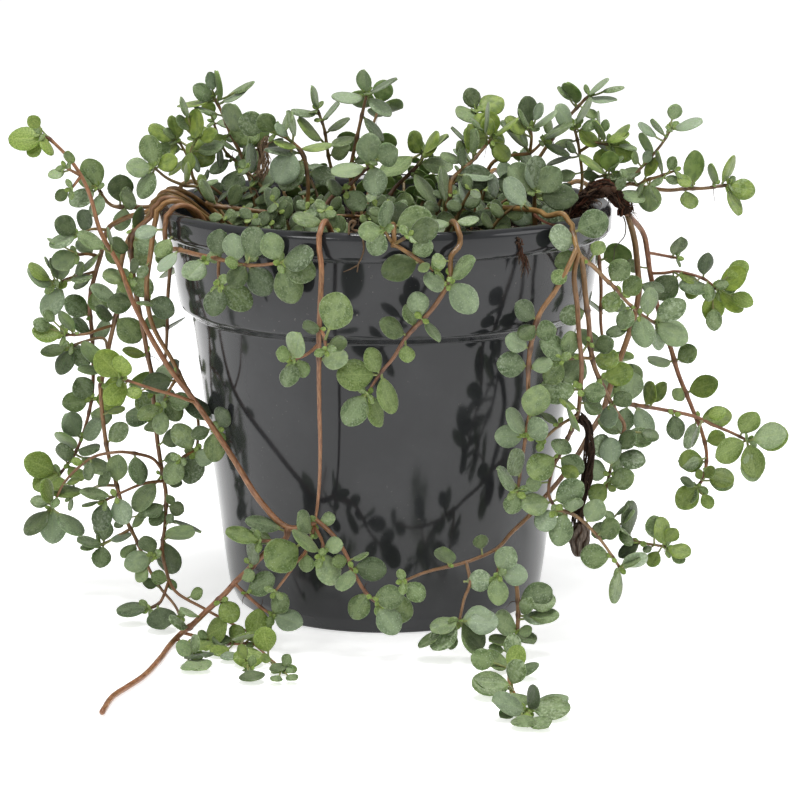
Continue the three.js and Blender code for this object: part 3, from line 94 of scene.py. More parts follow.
# Leaves
LEAF_WIDE = 0.94
ROOT_EDGE = 1.0
PETIOLE_REACH = 9
PETIOLE_LEAST = 0.9
STALK_LEAST = 0.5
STALK_PART = 0.25
LARGEST_BLADE = 9.2
WIDENING = 0.9
LEAST_TURN = 0.42
LEAST_TURN_HIGH = 0.2
TURN_SPREAD = 0.2
HIGH_UP = POT_HEIGHT + 3
SMALL_BLADE = 6
LEAF_LIFT = 1.5
BLADE_CLEAR = 0.3
LONGEST_STALK = 6.5
DEPTH_WEIGHT = 0.03
WITHOUT_SMALL_LEAVES = ("stem_right_long", "root_plug", "stem_back", "stem_rear")

# Reading the solids' blades
SAME_PLACE = 0.004
SAME_WAY = 0.9994
STRAIGHT = 0.9995
SMALLEST_PATCH = 5
CORNERS = (5, 11)
ROOT_EDGE_SLACK = 0.12
SHORTEST_LEAF = 3
WIDTH_SHARE = (0.77, 0.96)
AREA_SHARE = (0.44, 0.85)
MOST_SLANT = 0.03
NEAREST_REACH = 0.4
MOST_MISS = 3

# Seeded growth: the first seed is the one in the part's source
SEED = 4021
CRUMB_SEED = SEED + 5
SMALL_LEAF_SEED = SEED + 13
SPRIG_SEED = SEED + 77
NODE_SEED_STEP = 31
BACK_DEPTH = 24
BACK_TRAILING = 5
BACK_STANDING = 3

# The stems, read from in front. Each is rooted in the soil at (degrees, radius), or grows from a
# place on another stem. Route points are (across, up, depth); two numbers lie on the surface that the pot
# stands on. Shoots are (place, points).
STEMS = [
    {"name": "stem_front_long", "root": (-105, 45), "thick": 1.7,
     "route": [("rim", -105), (-17, 88, -62), (-17.7, 73, -61), (-17.8, 64.5, -60), (-17.8, 53, -58),
               (-17.6, 40, -56), (-18, 28, -54), (-19.2, 18, -52)],
     "shoots": [(5, [(-16.4, 70.5, -65), (-15.9, 67, -67)]),
                (5.5, [(-20.7, 65.8, -62), (-24.7, 64, -64)]),
                (10, [(-21.5, 11.2, -54), (-24.2, 7.9, -56), (-26.4, 4.6, -57), (-30, -0.4, -58)]),
                (10, [(-17, 13, -57), (-17.5, 9.5, -59)])]},
    {"name": "stem_left_long", "from": ("stem_front_long", 9.9), "thick": 1.8,
     "route": [(-26.5, 17.6, -50), (-34, 25, -46), (-42, 38.3, -38), (-51, 52.3, -27), (-58.6, 62.8, -21),
               (-66.3, 77.3, -17), (-71, 89.9, -15), (-75.7, 98.9, -13), (-78.6, 109.6, -11),
               (-82.7, 117.3, -10), (-88.4, 123.4, -9), (-90.5, 124.6, -9)],
     "shoots": [(4, [(-57, 54.5, -30), (-62.5, 56, -31), (-68, 58, -32), (-71.5, 59, -33)]),
                (9.5, [(-84.3, 115.8, -13)]),
                (9.5, [(-83, 110.4, -12)])]},
    {"name": "stem_bare", "from": ("stem_left_long", 1), "thick": 1.7, "end": 1.7,
     "route": [(-27.3, 14.2, -50), (-31.9, 11.2, -50), (-37.2, 5.8, -50), (-41.3, 1.8, -50),
               (-44.8, -2.2, -51), (-49.6, -6.7, -51), (-53, -10.1, -50), (-55.8, -12.3, -48),
               (-58.9, -15.5), (-61.8, -19.5), (-65.8, -24), (-69.8, -27), (-74.2, -29.8), (-76.2, -31.8),
               (-78.3, -35.2)],
     "shoots": [(1, [(-31, 13.8, -53), (-34.2, 13.8, -54)]),
                (4, [(-37.5, -2, -53), (-34.2, -5, -54), (-31, -7.2, -54)]),
                (8, [(-52.5, -13.2, -47), (-48.8, -14.6), (-44, -15.3), (-39.8, -15.5), (-36.4, -15.2)]),
                (8.5, [(-54.5, -17), (-52, -20.4)])]},
    {"name": "stem_front_low", "from": ("stem_front_long", 9.8), "thick": 1.3,
     "route": [(-14.6, 15.9, -55), (-11.9, 12.1, -57), (-10, 8.4, -58), (-8.7, 5, -59), (-5.5, -0.6, -61),
               (-1.9, -4, -62)]},
    {"name": "stem_left_a", "root": (188, 47), "thick": 1.7,
     "route": [("rim", 197), (-62.6, 92, -17), (-63.7, 84, -16), (-62.9, 75.7, -14), (-60.8, 70.3, -12),
               (-57.2, 64, -11), (-53.6, 56.6, -11), (-51.3, 52, -12), (-50.4, 45.5, -14),
               (-51, 39, -16)],
     "shoots": [(8.5, [(-58, 56, -15), (-60.2, 51.4, -17)]),
                (10.5, [(-47.4, 47, -21), (-45.2, 44.6, -25)]),
                (12, [(-53.6, 38, -18), (-55.2, 36.8, -19)])]},
    {"name": "stem_left_b", "root": (181, 46), "thick": 1.6,
     "route": [("rim", 190), (-67.3, 97.8, -10), (-67.4, 89.9, -8), (-66.4, 81.2, -8), (-64.8, 72, -7),
               (-63.6, 64.5, -6), (-62.6, 59, -6), (-62.3, 51.5, -6), (-61.7, 43, -8), (-61, 37, -10),
               (-60, 30.6, -12), (-59.5, 26, -14), (-60, 17.8, -16), (-60.8, 11.8, -18), (-60, 6, -22),
               (-57.4, -0.5, -30), (-50, -5.2, -41), (-43.4, -9, -43), (-37, -12.4)],
     "shoots": [(12.5, [(-63, 36.9, -13), (-67.9, 38.3, -16), (-73.3, 38.6, -18), (-79.9, 36.8, -17),
                     (-86.7, 30.6, -14), (-90.6, 23, -12)]),
                (13, [(-65.2, 30, -15), (-70.2, 28, -17), (-76, 25.2, -18)]),
                (16, [(-63.1, 9.6, -21)]),
                (17.5, [(-61.5, -3.4, -32), (-64.6, -5.4, -33)])]},
    {"name": "stem_left_c", "root": (174, 44), "thick": 1.6,
     "route": [("rim", 185), (-67.6, 98, -1), (-70.4, 89.9, 0), (-71, 80, 1), (-72.7, 73.6, 2),
               (-76, 59.6, 2), (-76.6, 54, 1), (-75.3, 40, 0), (-72.8, 29.3, -2), (-70.6, 20.3, -5),
               (-67.9, 14.2, -7), (-64.6, 6, -9), (-61.6, 0.6, -13), (-57.6, -4.6, -24),
               (-56.2, -8.2, -33)],
     "shoots": [(5.5, [(-69.6, 87, -8), (-68.4, 86.4, -14)]),
                (7, [(-77.2, 72.2, -1), (-80, 71.2, -3), (-85.7, 70.8, -5)]),
                (7.5, [(-75.6, 70, 5), (-81.2, 69, 6), (-84.4, 67.6, 6)]),
                (11, [(-77.3, 29.3, -1), (-80.6, 28, 0), (-84.7, 27, 1)]),
                (12.5, [(-74, 14.4, -5), (-77.5, 12.6, -4)])]},
    {"name": "stem_left_d", "root": (168, 46), "thick": 1.7,
     "route": [("rim", 178), (-67.6, 103, 5), (-71, 101.5, 6), (-73.8, 99.3, 7), (-75.9, 92, 8),
               (-77.1, 88.2, 9), (-79, 80, 9), (-78.5, 70.4, 11), (-78.5, 61, 10), (-79, 54, 8),
               (-81, 45.6, 6), (-84, 38.2, 3), (-88.3, 32.4, 0)],
     "shoots": [(6, [(-78, 99.5, 4), (-81.4, 98.2, 2)]),
                (7, [(-79, 92.8, 5), (-82, 92.6, 3)]),
                (8, [(-80.5, 87.2, 7), (-84.6, 86.2, 5), (-88.2, 84, 3)])]},
    {"name": "stem_left_e", "root": (160, 47), "thick": 1.5,
     "route": [("rim", 170), (-69, 105.4, 10), (-72.8, 106, 10), (-75, 108.6, 9), (-76, 110.5, 8)]},
    {"name": "stem_collar", "root": (203, 48), "thick": 1.6,
     "route": [("rim", 205), (-56.6, 94.6, -26), (-53, 94.3, -31), (-48, 93, -38), (-42.3, 91.8, -44),
               (-38, 90.4, -48), (-33, 90, -52), (-28.1, 90.5, -56)],
     "shoots": [(6.5, [(-49, 91.5, -42), (-48, 91, -44)]),
                (7, [(-44.5, 88, -46), (-44.2, 84.7, -49)])]},
    {"name": "stem_inner_left", "root": (192, 40), "thick": 1.5,
     "route": [(-47, 106, -11), (-44.6, 105.6, -14), (-38, 104.8, -15), (-31.3, 104, -16),
               (-25.5, 103.2, -17), (-16.5, 102.9, -16), (-11.3, 103.1, -16), (-5, 102.8, -15)]},
    {"name": "stem_rim_middle", "root": (-86, 44), "thick": 1.4,
     "route": [("rim", -88), (2, 95.6, -63), (5.7, 93.4, -64), (10.1, 90.3, -63), (13, 88.5, -62)],
     "shoots": [(3, [(-0.4, 99.3, -65)]),
                (3.5, [(6, 97.6, -66)])]},
    {"name": "stem_front_right", "root": (-70, 40), "thick": 1.6,
     "route": [("rim", -73), (17.5, 92, -62), (17.2, 86.2, -62), (14.4, 80.5, -62), (10.7, 75.7, -62),
               (6, 70.8, -61), (2.1, 64.5, -60), (-1, 60.8, -60), (-4.8, 55, -60)]},
    {"name": "stem_right_long", "root": (-6, 46), "thick": 5, "end": 4.4,
     "route": [("rim", -4)]},
    {"name": "stem_right_a", "from": ("stem_right_long", 2.8), "thick": 1.9,
     "route": [(66.2, 97, -1), (67.4, 88, -4), (67.7, 82, -6), (66.7, 75.8, -8), (65.2, 70.7, -11),
               (63.1, 64.3, -14), (60.5, 56.4, -18), (58.5, 49.5, -22), (55.4, 44.1, -26),
               (52.9, 39.3, -30), (49.8, 34.4, -34), (46.3, 29.6, -38), (42.7, 25.3, -42),
               (39.2, 20.9, -45), (34.3, 16, -49), (30.3, 11.5, -52), (22.1, 7.8, -55), (11.9, 5.2, -58),
               (5, 2.4, -64)],
     "shoots": [(16, [(31, 7.4, -56), (30.8, 4.1, -58)]),
                (17, [(23.2, 2, -58), (21.6, -2.8, -60), (20.4, -9, -62)])]},
    {"name": "stem_right_low", "from": ("stem_right_a", 16), "thick": 1.3,
     "route": [(35, 4.6, -55), (36.4, -3.4, -57), (36.3, -12, -58), (35.9, -18.3), (34.8, -22),
               (34.2, -26.4), (36.4, -31), (39.5, -35)]},
    {"name": "stem_right_b", "from": ("stem_right_long", 3), "thick": 1.7,
     "route": [(68.4, 98.8, 5), (69.8, 93.2, 6), (70.7, 87.6, 6), (73, 78, 6), (76.7, 67, 5),
               (78.9, 60, 4), (82.7, 51, 2), (85.4, 44.6, 0), (87, 38.2, -2), (86.4, 32, -4),
               (84.8, 29, -5)],
     "shoots": [(3, [(74.6, 87.7, 5), (78.3, 88.1, 4), (84.9, 86.2, 2), (88.4, 83.4, 1)]),
                (2, [(74.2, 92.4, 9), (77.4, 91.8, 10)])]},
    {"name": "stem_right_c", "from": ("stem_right_a", 7.5), "thick": 1.3,
     "route": [(61.7, 52.2, -20), (66.4, 51.8, -17), (74.3, 50.5, -13), (83.2, 48.6, -10),
               (88.5, 46.2, -9), (93.7, 44, -9), (97.9, 41.9, -9)]},
    {"name": "stem_right_top", "from": ("stem_right_long", 2.2), "thick": 1.3,
     "route": [(64.6, 111.6, 0), (69.4, 110.6, 1), (74.9, 109.9, 2), (79.4, 110.3, 2), (84.4, 110.4, 2),
               (88, 110.9, 2), (91, 111.3, 2)],
     "shoots": [(1.5, [(69.2, 112.6, -3), (72.6, 113.6, -5), (76.4, 115, -6)]),
                (1, [(66.6, 114.6, -2), (69.3, 117.7, -2), (72.8, 121.9, -2), (75.3, 126, -2)])]},
    {"name": "stem_right_front", "root": (-28, 22), "thick": 1.7,
     "route": [(27.7, 104.9, -16), (31.6, 105.2, -20), (40.3, 104.4, -31), ("rim", -41), (51, 94.4, -45),
               (52.2, 92, -44), (55.4, 89.5, -39), (58.7, 86.1, -34), (61.4, 83.6, -30),
               (64.6, 79.9, -26), (68.5, 76.5, -23), (72.5, 74, -21)]},
    {"name": "stem_right_d", "from": ("stem_right_front", 8), "thick": 1.6,
     "route": [(53, 86.8, -43), (53.6, 80.7, -43), (54.5, 74.5, -42), (55.1, 67.4, -40),
               (56.4, 61.7, -38), (59.2, 55.6, -36), (62.2, 50, -34), (64.6, 46, -33), (63.4, 41, -33),
               (61.6, 36, -34), (60.2, 30, -35)],
     "shoots": [(4.5, [(51, 64.6, -46), (47.2, 64, -49)])]},
    {"name": "stem_right_e", "from": ("stem_right_d", 11), "thick": 1.1,
     "route": [(58.8, 24.5, -37), (60.6, 20.4, -37), (64.5, 15.8, -37), (68.7, 13.6, -37),
               (72.4, 12.8, -37), (76.6, 12.2, -37)]},
    {"name": "stem_right_f", "from": ("stem_right_front", 7.5), "thick": 1.5,
     "route": [(50.4, 87, -47), (51.4, 78.3, -47), (52, 70.3, -48), (52.8, 62.8, -48), (52.6, 57, -48),
               (51.9, 48.9, -47), (48.8, 41.4, -47), (45.4, 34, -49), (44.4, 27, -51), (46.6, 22.6, -52)],
     "shoots": [(6, [(47, 46, -49), (42.6, 42, -50)]),
                (10, [(50.4, 21.6, -52), (54.6, 18.6, -51), (59.3, 13.3, -50), (64, 6.4, -48)])]},
    {"name": "root_plug", "from": ("stem_right_f", 6), "thick": 4.6, "end": 3.4,
     "route": [(54.6, 45.4, -44), (55.4, 40.4, -42), (54.8, 33, -42), (53, 25, -43), (52.4, 18.2, -44),
               (52.8, 10, -44)]},
    {"name": "stem_right_g", "from": ("stem_right_front", 7), "thick": 1.5,
     "route": [(48, 87.7, -49), (45.2, 82.5, -50), (41, 75.8, -51), (38.8, 66, -51), (38.5, 57, -51),
               (39, 50, -50), (38, 43, -50), (37, 36, -51), (36, 28, -52)]},
    {"name": "stem_top_a", "root": (160, 35), "thick": 1.3,
     "route": [(-35.5, 112, 13), (-38.4, 120, 14), (-40.7, 124.6, 15), (-43, 130.5, 15),
               (-45, 134.5, 15)]},
    {"name": "stem_top_b", "root": (164, 46), "thick": 1.2,
     "route": [(-50.4, 112.2, 11), (-51.7, 117.8, 10), (-54.6, 123.2, 9)],
     "shoots": [(2, [(-51, 121, 6), (-49.8, 123.8, 5)])]},
    {"name": "stem_top_c", "root": (186, 40), "thick": 1.2,
     "route": [(-47.6, 109.6, -4), (-53, 111.2, -5), (-57.4, 112.9, -6), (-61, 115.8, -7)]},
    {"name": "stem_top_d", "root": (152, 41), "thick": 1.1,
     "route": [(-38, 112, 22), (-39, 116.9, 22), (-41.8, 119.6, 22), (-43.6, 122.8, 22),
               (-45.2, 127.8, 22)]},
    {"name": "stem_top_e", "root": (222, 28), "thick": 1.3,
     "route": [(-20.4, 109.9, -20), (-20.8, 115, -20), (-21.4, 118.6, -20), (-23.4, 121.6, -20),
               (-26.3, 123.9, -20), (-28.6, 125, -20)]},
    {"name": "stem_top_f", "root": (120, 26), "thick": 1.2,
     "route": [(-13.5, 112, 18), (-15, 119, 14), (-16, 125.8, 12), (-17.7, 131, 12)]},
    {"name": "stem_top_g", "root": (-118, 36), "thick": 1.3,
     "route": [(-15.4, 106.4, -31), (-10.7, 110, -30), (-6.2, 114.4, -30), (-2.6, 117.7, -30)]},
    {"name": "stem_top_h", "root": (130, 13), "thick": 1.3,
     "route": [(-9, 110, 8), (-8.9, 116.8, 6), (-7, 125.9, 5), (-5.4, 132.8, 5), (-4.8, 135.5, 5)]},
    {"name": "stem_top_i", "root": (-80, 7), "thick": 1.3,
     "route": [(0.6, 106, -6), (2.4, 110.3, -6), (6.9, 114.7, -6), (9.5, 117.7, -6), (10.2, 120.2, -6)]},
    {"name": "stem_top_j", "root": (-58, 24), "thick": 1.4,
     "route": [(16.8, 107, -22), (17.7, 112.7, -20), (22.5, 117.2, -16), (26, 121.1, -12),
               (28.4, 124, -10)]},
    {"name": "stem_top_k", "root": (-22, 42), "thick": 1.5,
     "route": [(39.6, 105.4, -18), (39.6, 109.4, -21)]},
    {"name": "stem_top_l", "root": (20, 25), "thick": 1.3,
     "route": [(26, 112, 6), (28.6, 117.4, 4), (33.6, 119.2, 3), (38.2, 119.8, 3), (41.4, 122.6, 3)],
     "shoots": [(4, [(38.6, 124, 1), (38, 126.4, 0)])]},
    {"name": "stem_top_m", "root": (8, 48), "thick": 1.2,
     "route": [(51.9, 110, 8), (51.3, 120.1, 8), (49.7, 127, 8)],
     "shoots": [(2, [(55.4, 122.5, 6), (59, 122, 5)])]},
    {"name": "stem_top_n", "root": (32, 40), "thick": 1.3,
     "route": [(38, 113, 20), (41, 119, 19), (47.3, 128, 18), (51.1, 132.4, 18), (53.3, 134.7, 18)]},
    {"name": "stem_top_o", "root": (2, 49), "thick": 1.1,
     "route": [(54.2, 111.6, 2), (57.2, 113.6, 2), (60, 114, 1)]},
]

# Twigs too thin for the solids, each from a place on its stem outward
TWIGS = {
    "stem_bare": [[(-39.8, -15.5), (-38.6, -18.5), (-37.4, -22)],
                  [(-36.4, -15.2), (-34, -17.5), (-31, -20.5), (-28, -22.8)]],
}

# Leaves that are only here, as they are seen: across, up, long, wide and, where it isn't plain, their look
SMALL_LEAVES = [
    # The bare stem's end, on the surface at the front left
    (-33, -14.2, 6.5, 6, "fresh"), (-37.5, -20, 8, 5, "fresh"), (-36.8, -24.8, 7, 4, "dark"),
    (-45.5, -17.5, 5.5, 5, "fresh"), (-43, -19, 5, 3.4, "silver"), (-45, -14.4, 5, 4, "dark"),
    (-53, -21.7, 7, 3.2, "pale"), (-51, -21.8, 6.5, 3, "pale"), (-52, -15.5, 5, 2.5), (-50.2, -13, 3, 2.4),
    (-55.5, -17, 5, 4, "pale"), (-48.8, -16.8, 2.6, 2, "fresh"), (-39.5, -17.8, 4, 3, "olive"),
    (-29.5, -22.5, 5, 4, "dark"), (-30, -25.5, 3.5, 3), (-27, -20.2, 3.5, 3), (-26.5, -23, 2.5, 2),
    (-25.7, -25.3, 3.5, 2.6), (-33, -19.7, 3, 2.4, "olive"),
    # The low stems at the front right
    (23.5, -14.8, 8, 3.8), (18.5, -15, 4, 3, "dark"), (26.8, -20, 6, 5.6), (29, -27, 9, 6),
    (30.5, -17, 4, 3), (34.8, -16, 6, 4.5), (36, -19.5, 6.5, 5, "fresh"), (36, -23.5, 6.2, 5),
    (35.8, -32, 8, 6.5), (46, -34, 9, 7.5), (38.5, -38, 7, 5.5), (33.5, -36, 4, 3, "dark"),
    (43, -38.5, 6, 4.5), (39.5, -36.5, 2.6, 2, "fresh"), (44, -7.5, 7, 4), (43, -3.5, 7, 5.5),
    (38.5, -12, 4, 3, "pale"), (26.8, -9.5, 8, 6.5, "silver"), (12.5, -14.5, 7, 2.6),
    # The standing stems at the top right
    (60, 136.5, 6, 1.6), (47, 135.5, 5, 1.4), (56, 128.5, 5, 0.9), (58, 127, 3.5, 2.6), (54, 127, 5, 3),
    (53.5, 123.5, 6.5, 4, "backlit"), (61.3, 124, 6.5, 2.6, "fresh"), (58, 120.8, 5, 1.2, "dark"),
    (64, 121, 5, 1.4), (55.5, 116.5, 5, 2.5), (61, 116.8, 5.5, 1.6), (54.3, 113.7, 4, 3, "dark"),
    (60.5, 113.5, 4, 2), (64, 113.8, 5, 2.4), (62.5, 111.5, 4, 3, "dark"), (49, 121.2, 4, 2.2, "dark"),
    (48, 113.7, 5, 3.4, "pale"), (46, 117.5, 7, 1.5, "dark"), (69, 125.8, 6, 2.2, "silver"),
    (70.5, 116, 6, 3.4, "backlit"), (76, 117, 4, 3.2), (69.3, 118.7, 3.5, 2.8, "silver"), (72, 112, 4, 2),
    (76, 112.5, 4, 2.6), (67.5, 109.4, 5, 1.8), (71, 109, 5, 2),
    # The standing stems at the top left
    (-46, 138.7, 5, 3.3, "silver"), (-37, 137, 6.5, 2), (-53, 131.8, 6, 2), (-35.2, 127.5, 7, 6.6, "dark"),
    (-60.5, 125.5, 4.5, 3.6, "fresh"), (-57, 124.8, 4, 3), (-53.5, 127.5, 5, 2.6),
    (-49.5, 127.5, 8, 4.5, "backlit"), (-57, 121, 6, 4), (-46, 121, 7, 4, "dark"),
    (-52, 117, 6, 4, "olive"), (-40.5, 124, 4, 3, "dark"), (-50, 117, 5, 2, "silver"),
    (-44, 118.5, 6, 2, "dark"), (-47.5, 131, 6, 1.2), (-46.5, 111.6, 5, 1.4),
    (-48.5, 112.5, 3.5, 2.6, "olive"), (-41.5, 121.8, 4.5, 1.2), (-36.5, 121.6, 5, 1.2),
    (-26.5, 122, 6, 2, "fresh"), (-27.5, 125.7, 4.5, 2.5, "silver"), (-25, 127.5, 7, 2),
    (-26.5, 115.8, 9, 8, "silver"), (-36, 118.5, 8, 3, "silver"),
    # The standing stems in the middle
    (12, 122, 8, 3.2, "backlit"), (19.5, 124, 6.5, 0.9, "dark"), (24, 127.3, 5, 1.4), (27, 129, 8.5, 1.4),
    (27, 126.8, 5, 4, "backlit"), (23.5, 123, 6.5, 3.5), (33.5, 126.5, 7, 2, "dark"), (17.3, 118, 6, 2.4),
    (15, 111.5, 9, 3), (20, 118.7, 5, 2.5, "dark"), (24.5, 113.5, 8, 3, "silver"),
    (21, 108.5, 8, 2.4, "silver"), (28.5, 111, 6.5, 3, "silver"), (34, 109.3, 8.5, 5.5, "silver"),
    (33.5, 114, 4.5, 3.6, "silver"), (39.5, 114.5, 9, 6, "silver"), (36, 124, 6, 1.8), (36.5, 129.5, 7, 2),
    (40.5, 130.6, 5, 2.6, "silver"),
    # The far left
    (-78.5, 96, 8, 4), (-79, 90, 6.5, 2), (-80.5, 85, 6, 2.4), (-81, 86, 6, 2.2),
    (-86, 84.5, 3, 2.4, "fresh"), (-92.3, 88, 7, 3.4, "fresh"), (-90, 90.3, 4, 1),
    (-88.3, 89, 6, 2, "dark"), (-88, 96, 4.5, 1.3, "pale"), (-90, 76, 4, 3), (-92, 73.5, 5, 4),
    (-71, 79.5, 6.5, 5.6, "dark"), (-73.5, 97.5, 5, 1.3), (-63.5, 98.5, 6, 4, "silver"),
    (-64.5, 88, 4, 3, "dark"),
    # The upper right
    (94, 88.5, 6.5, 5, "fresh"), (95.5, 80.3, 6, 4.5, "fresh"), (87.8, 75, 6, 4.6), (90, 84.5, 4, 3),
    (92, 83.3, 3.5, 2.8), (82, 83, 5, 4, "olive"), (81, 86, 6, 2.6, "fresh"), (86.3, 82.5, 5, 4),
    (75, 83.7, 8, 7.2, "dark"),
    # The middle right
    (74, 55, 6.5, 4, "olive"), (89.5, 49.3, 5, 4, "fresh"), (84, 43, 6, 1.5), (104, 43, 9, 7, "pale"),
    (99, 34.5, 8, 6, "pale"), (82.5, 35.7, 6, 4.6), (82, 30.3, 4.5, 2.5, "dark"), (88, 33, 4, 3, "olive"),
    (82.5, 26.5, 6, 4.6), (91.3, 30.3, 6.5, 5), (71.5, 43.5, 5, 3.5, "dark"), (85, 32.5, 3, 2.4, "olive"),
    # The bundle that hangs at the left
    (-57.5, 42.5, 6, 5, "dark"), (-50, 44, 5, 4, "dark"), (-58, 37, 4, 3), (-57, 30, 4, 3, "dark"),
    (-72.5, 50, 5, 2, "olive"), (-83.5, 36, 3, 2.4, "fresh"), (-80, 33.3, 5, 3, "dark"),
    (-84.5, 30.5, 4, 2, "olive"), (-76, 31, 5, 3.5, "dark"), (-85.3, 24, 3.5, 1.4), (-80.2, 24, 4.5, 1),
    (-94, 24.5, 5, 3.5), (-89.5, 24.5, 3, 2.4), (-62, 20, 5, 4, "dark"), (-66, 21, 3, 2.4),
    (-58.5, 20, 3, 2.4, "dark"), (-58.5, 25.3, 3, 2.4), (-54, 17.5, 8, 1.2), (-72, 14.5, 6, 2.5, "silver"),
    (-72.5, 18.5, 3, 2.4, "dark"), (-81, 12, 4.5, 2), (-64.5, 1.5, 4, 3, "dark"), (-58.5, 1.3, 3.5, 2.6),
    (-54, -6.5, 5, 1.6, "pale"),
    # The stems that hang at the right
    (49, 52, 5, 2, "olive"), (56, 51, 5, 4, "dark"), (61, 39, 7, 6, "silver"), (65.5, 42, 6, 4.8, "dark"),
    (60.5, 48.5, 6, 4.8, "silver"), (63, 35.5, 5, 3), (50, 33, 5, 4, "olive"),
    (61.5, 28.5, 2.4, 2, "olive"), (64.5, 22.5, 4, 1.2, "dark"), (66, 20.5, 5, 1), (64.5, 17, 5, 1),
    (61, 21, 3, 2.4), (65.5, 14.5, 5, 3), (67.5, 7.5, 5, 2.4), (73.2, 17.8, 6, 4.6),
    (71.5, 11.5, 2.6, 2, "dark"), (80, 9, 4, 3),
]

# The smallest young leaves, by stem: across, up, length and, for some, the way they face
YOUNG = {
    "stem_front_long": [(-12.6, 68.6, 4.5), (-27.6, 65.6, 4.5), (-22.4, 61.6, 4.5), (-15.6, 20, 4),
        (-21.5, 7.4, 4.5, "up")],
    "stem_left_long": [(-92.5, 120.5, 4.5), (-92.5, 128, 4), (-87, 114.2, 4.5), (-83.4, 118.6, 4),
        (-85.7, 108.6, 4), (-67.6, 55, 4.5)],
    "stem_bare": [(-37.4, 4, 4)],
    "stem_front_low": [(-12.6, 8, 4), (-6.6, 9.4, 4.5, "edge")],
    "stem_left_b": [(-56.6, 22.8, 4.5), (-66.6, 4.2, 4.5), (-62, 3.4, 4.5), (-51.6, -1.2, 4),
        (-69.4, 84.4, 4.5)],
    "stem_left_c": [(-66.6, 89.6, 4.5)],
    "stem_left_d": [(-81.4, 88.8, 4.5)],
    "stem_left_e": [(-79.6, 112, 4.5)],
    "stem_collar": [(-45.4, 92.4, 4.5), (-41, 90.4, 4), (-35.6, 92.4, 4)],
    "stem_rim_middle": [(-1.4, 91.6, 4.5)],
    "stem_front_right": [(14.2, 90.8, 4.5), (5.8, 65.6, 4.5)],
    "stem_right_a": [(26, 13.6, 4.5)],
    "stem_right_b": [(79, 54.6, 4.5), (87.4, 24.8, 4.5), (76.8, 84.8, 4), (66, 89.6, 4.5)],
    "stem_right_top": [(79, 112.4, 4.5), (76.2, 130.6, 4.5), (66, 118.4, 4)],
    "stem_right_front": [(56.6, 94.4, 4.5), (31.4, 101, 4.5)],
    "stem_right_e": [(78, 15.6, 4.5), (73.4, 8.6, 4.5, "up")],
    "stem_right_f": [(40.2, 29.8, 4.5)],
    "stem_right_g": [(46.4, 86.6, 4.5)],
    "stem_top_d": [(-46.4, 131.6, 4.5)],
    "stem_top_j": [(19.8, 121, 4.5)],
    "stem_top_n": [(54, 130.2, 4.5)],
}

FACES = {"up": (0, -0.34, 1), "edge": (0, -0.05, 1)}
UP = np.array([0.0, 0.0, 1.0])
ACROSS = np.array([1.0, 0.0, 0.0])


def unit(a):
    return a / max(np.linalg.norm(a), 1e-9)


def draws_from(seed):
    """Seeded draws from 0 to 1, the same on every run and as in the part's source."""
    state = seed

    def draw():
        nonlocal state
        state = (state * 16807) % 2147483647
        return state / 2147483647

    draw()
    draw()
    return draw


def spray(draw):
    """A small step in a drawn direction."""
    return np.array([draw() - 0.5, draw() - 0.5, draw() - 0.5])


# Routes

def pot_radius(z):
    """The radius that the pot's outside has at a height."""
    if z > POT_HEIGHT - LIP_DROP - 2:
        return RIM_RADIUS
    if z > COLLAR_FOOT_Z:
        return COLLAR_RADIUS
    part = (z - BODY_LOW_Z) / (COLLAR_FOOT_Z - BODY_LOW_Z)
    return BODY_LOW_RADIUS + (BODY_TOP_RADIUS - BODY_LOW_RADIUS) * max(part, 0)


def soil_height(x, y):
    """The height of the mix's top, as in the part's source."""
    mound = 1.5 * (1 - (math.hypot(x, y) / RIM_RADIUS) ** 2)
    return SOIL_TOP + mound + SOIL_ROUGH * math.sin(x * 0.21 + 1) * math.cos(y * 0.17 - 0.4)


def clear_of_pot(point, radius):
    """Moves a point that would lie in the pot's wall straight out, to lie against it."""
    r = math.hypot(point[0], point[1])
    in_mouth = point[2] > SOIL_TOP and r < COLLAR_RADIUS - 2 * WALL
    least = pot_radius(point[2]) + radius + POT_CLEAR
    if point[2] > POT_HEIGHT or in_mouth or r > least:
        return point
    return np.array([point[0] / r * least, point[1] / r * least, point[2]])


def seen(spot, radius):
    """A point as it is seen from in front. Without a depth it lies on the surface under the pot."""
    across, up = spot[:2]
    lowest = radius + LYING_CLEAR
    if len(spot) == 3:
        near = (EYE_AWAY + spot[2]) / EYE_AWAY
    else:
        near = (EYE_UP - lowest) / (EYE_UP - up)
    z = max(EYE_UP + (up - EYE_UP) * near, lowest)
    return clear_of_pot(np.array([across * near, EYE_AWAY * (near - 1), z]), radius)


def round_pot(degrees, radius, z):
    angle = math.radians(degrees)
    return np.array([radius * math.cos(angle), radius * math.sin(angle), z])


def over_rim(degrees, radius):
    """A stem's way over the rim."""
    return [
        round_pot(degrees, RIM_RADIUS - 6, POT_HEIGHT + radius + 0.2),
        round_pot(degrees, RIM_RADIUS - 0.8, POT_HEIGHT + radius + 1.1),
        round_pot(degrees, RIM_RADIUS + radius + 1.2, POT_HEIGHT - 2.5),
    ]


def step_points(step, radius):
    """The points of one step of a route: over the rim, round the pot, or as it is seen."""
    if step[0] == "rim":
        return over_rim(step[1], radius)
    if step[0] == "round":
        return [clear_of_pot(round_pot(*step[1:]), radius)]
    return [seen(step, radius)]


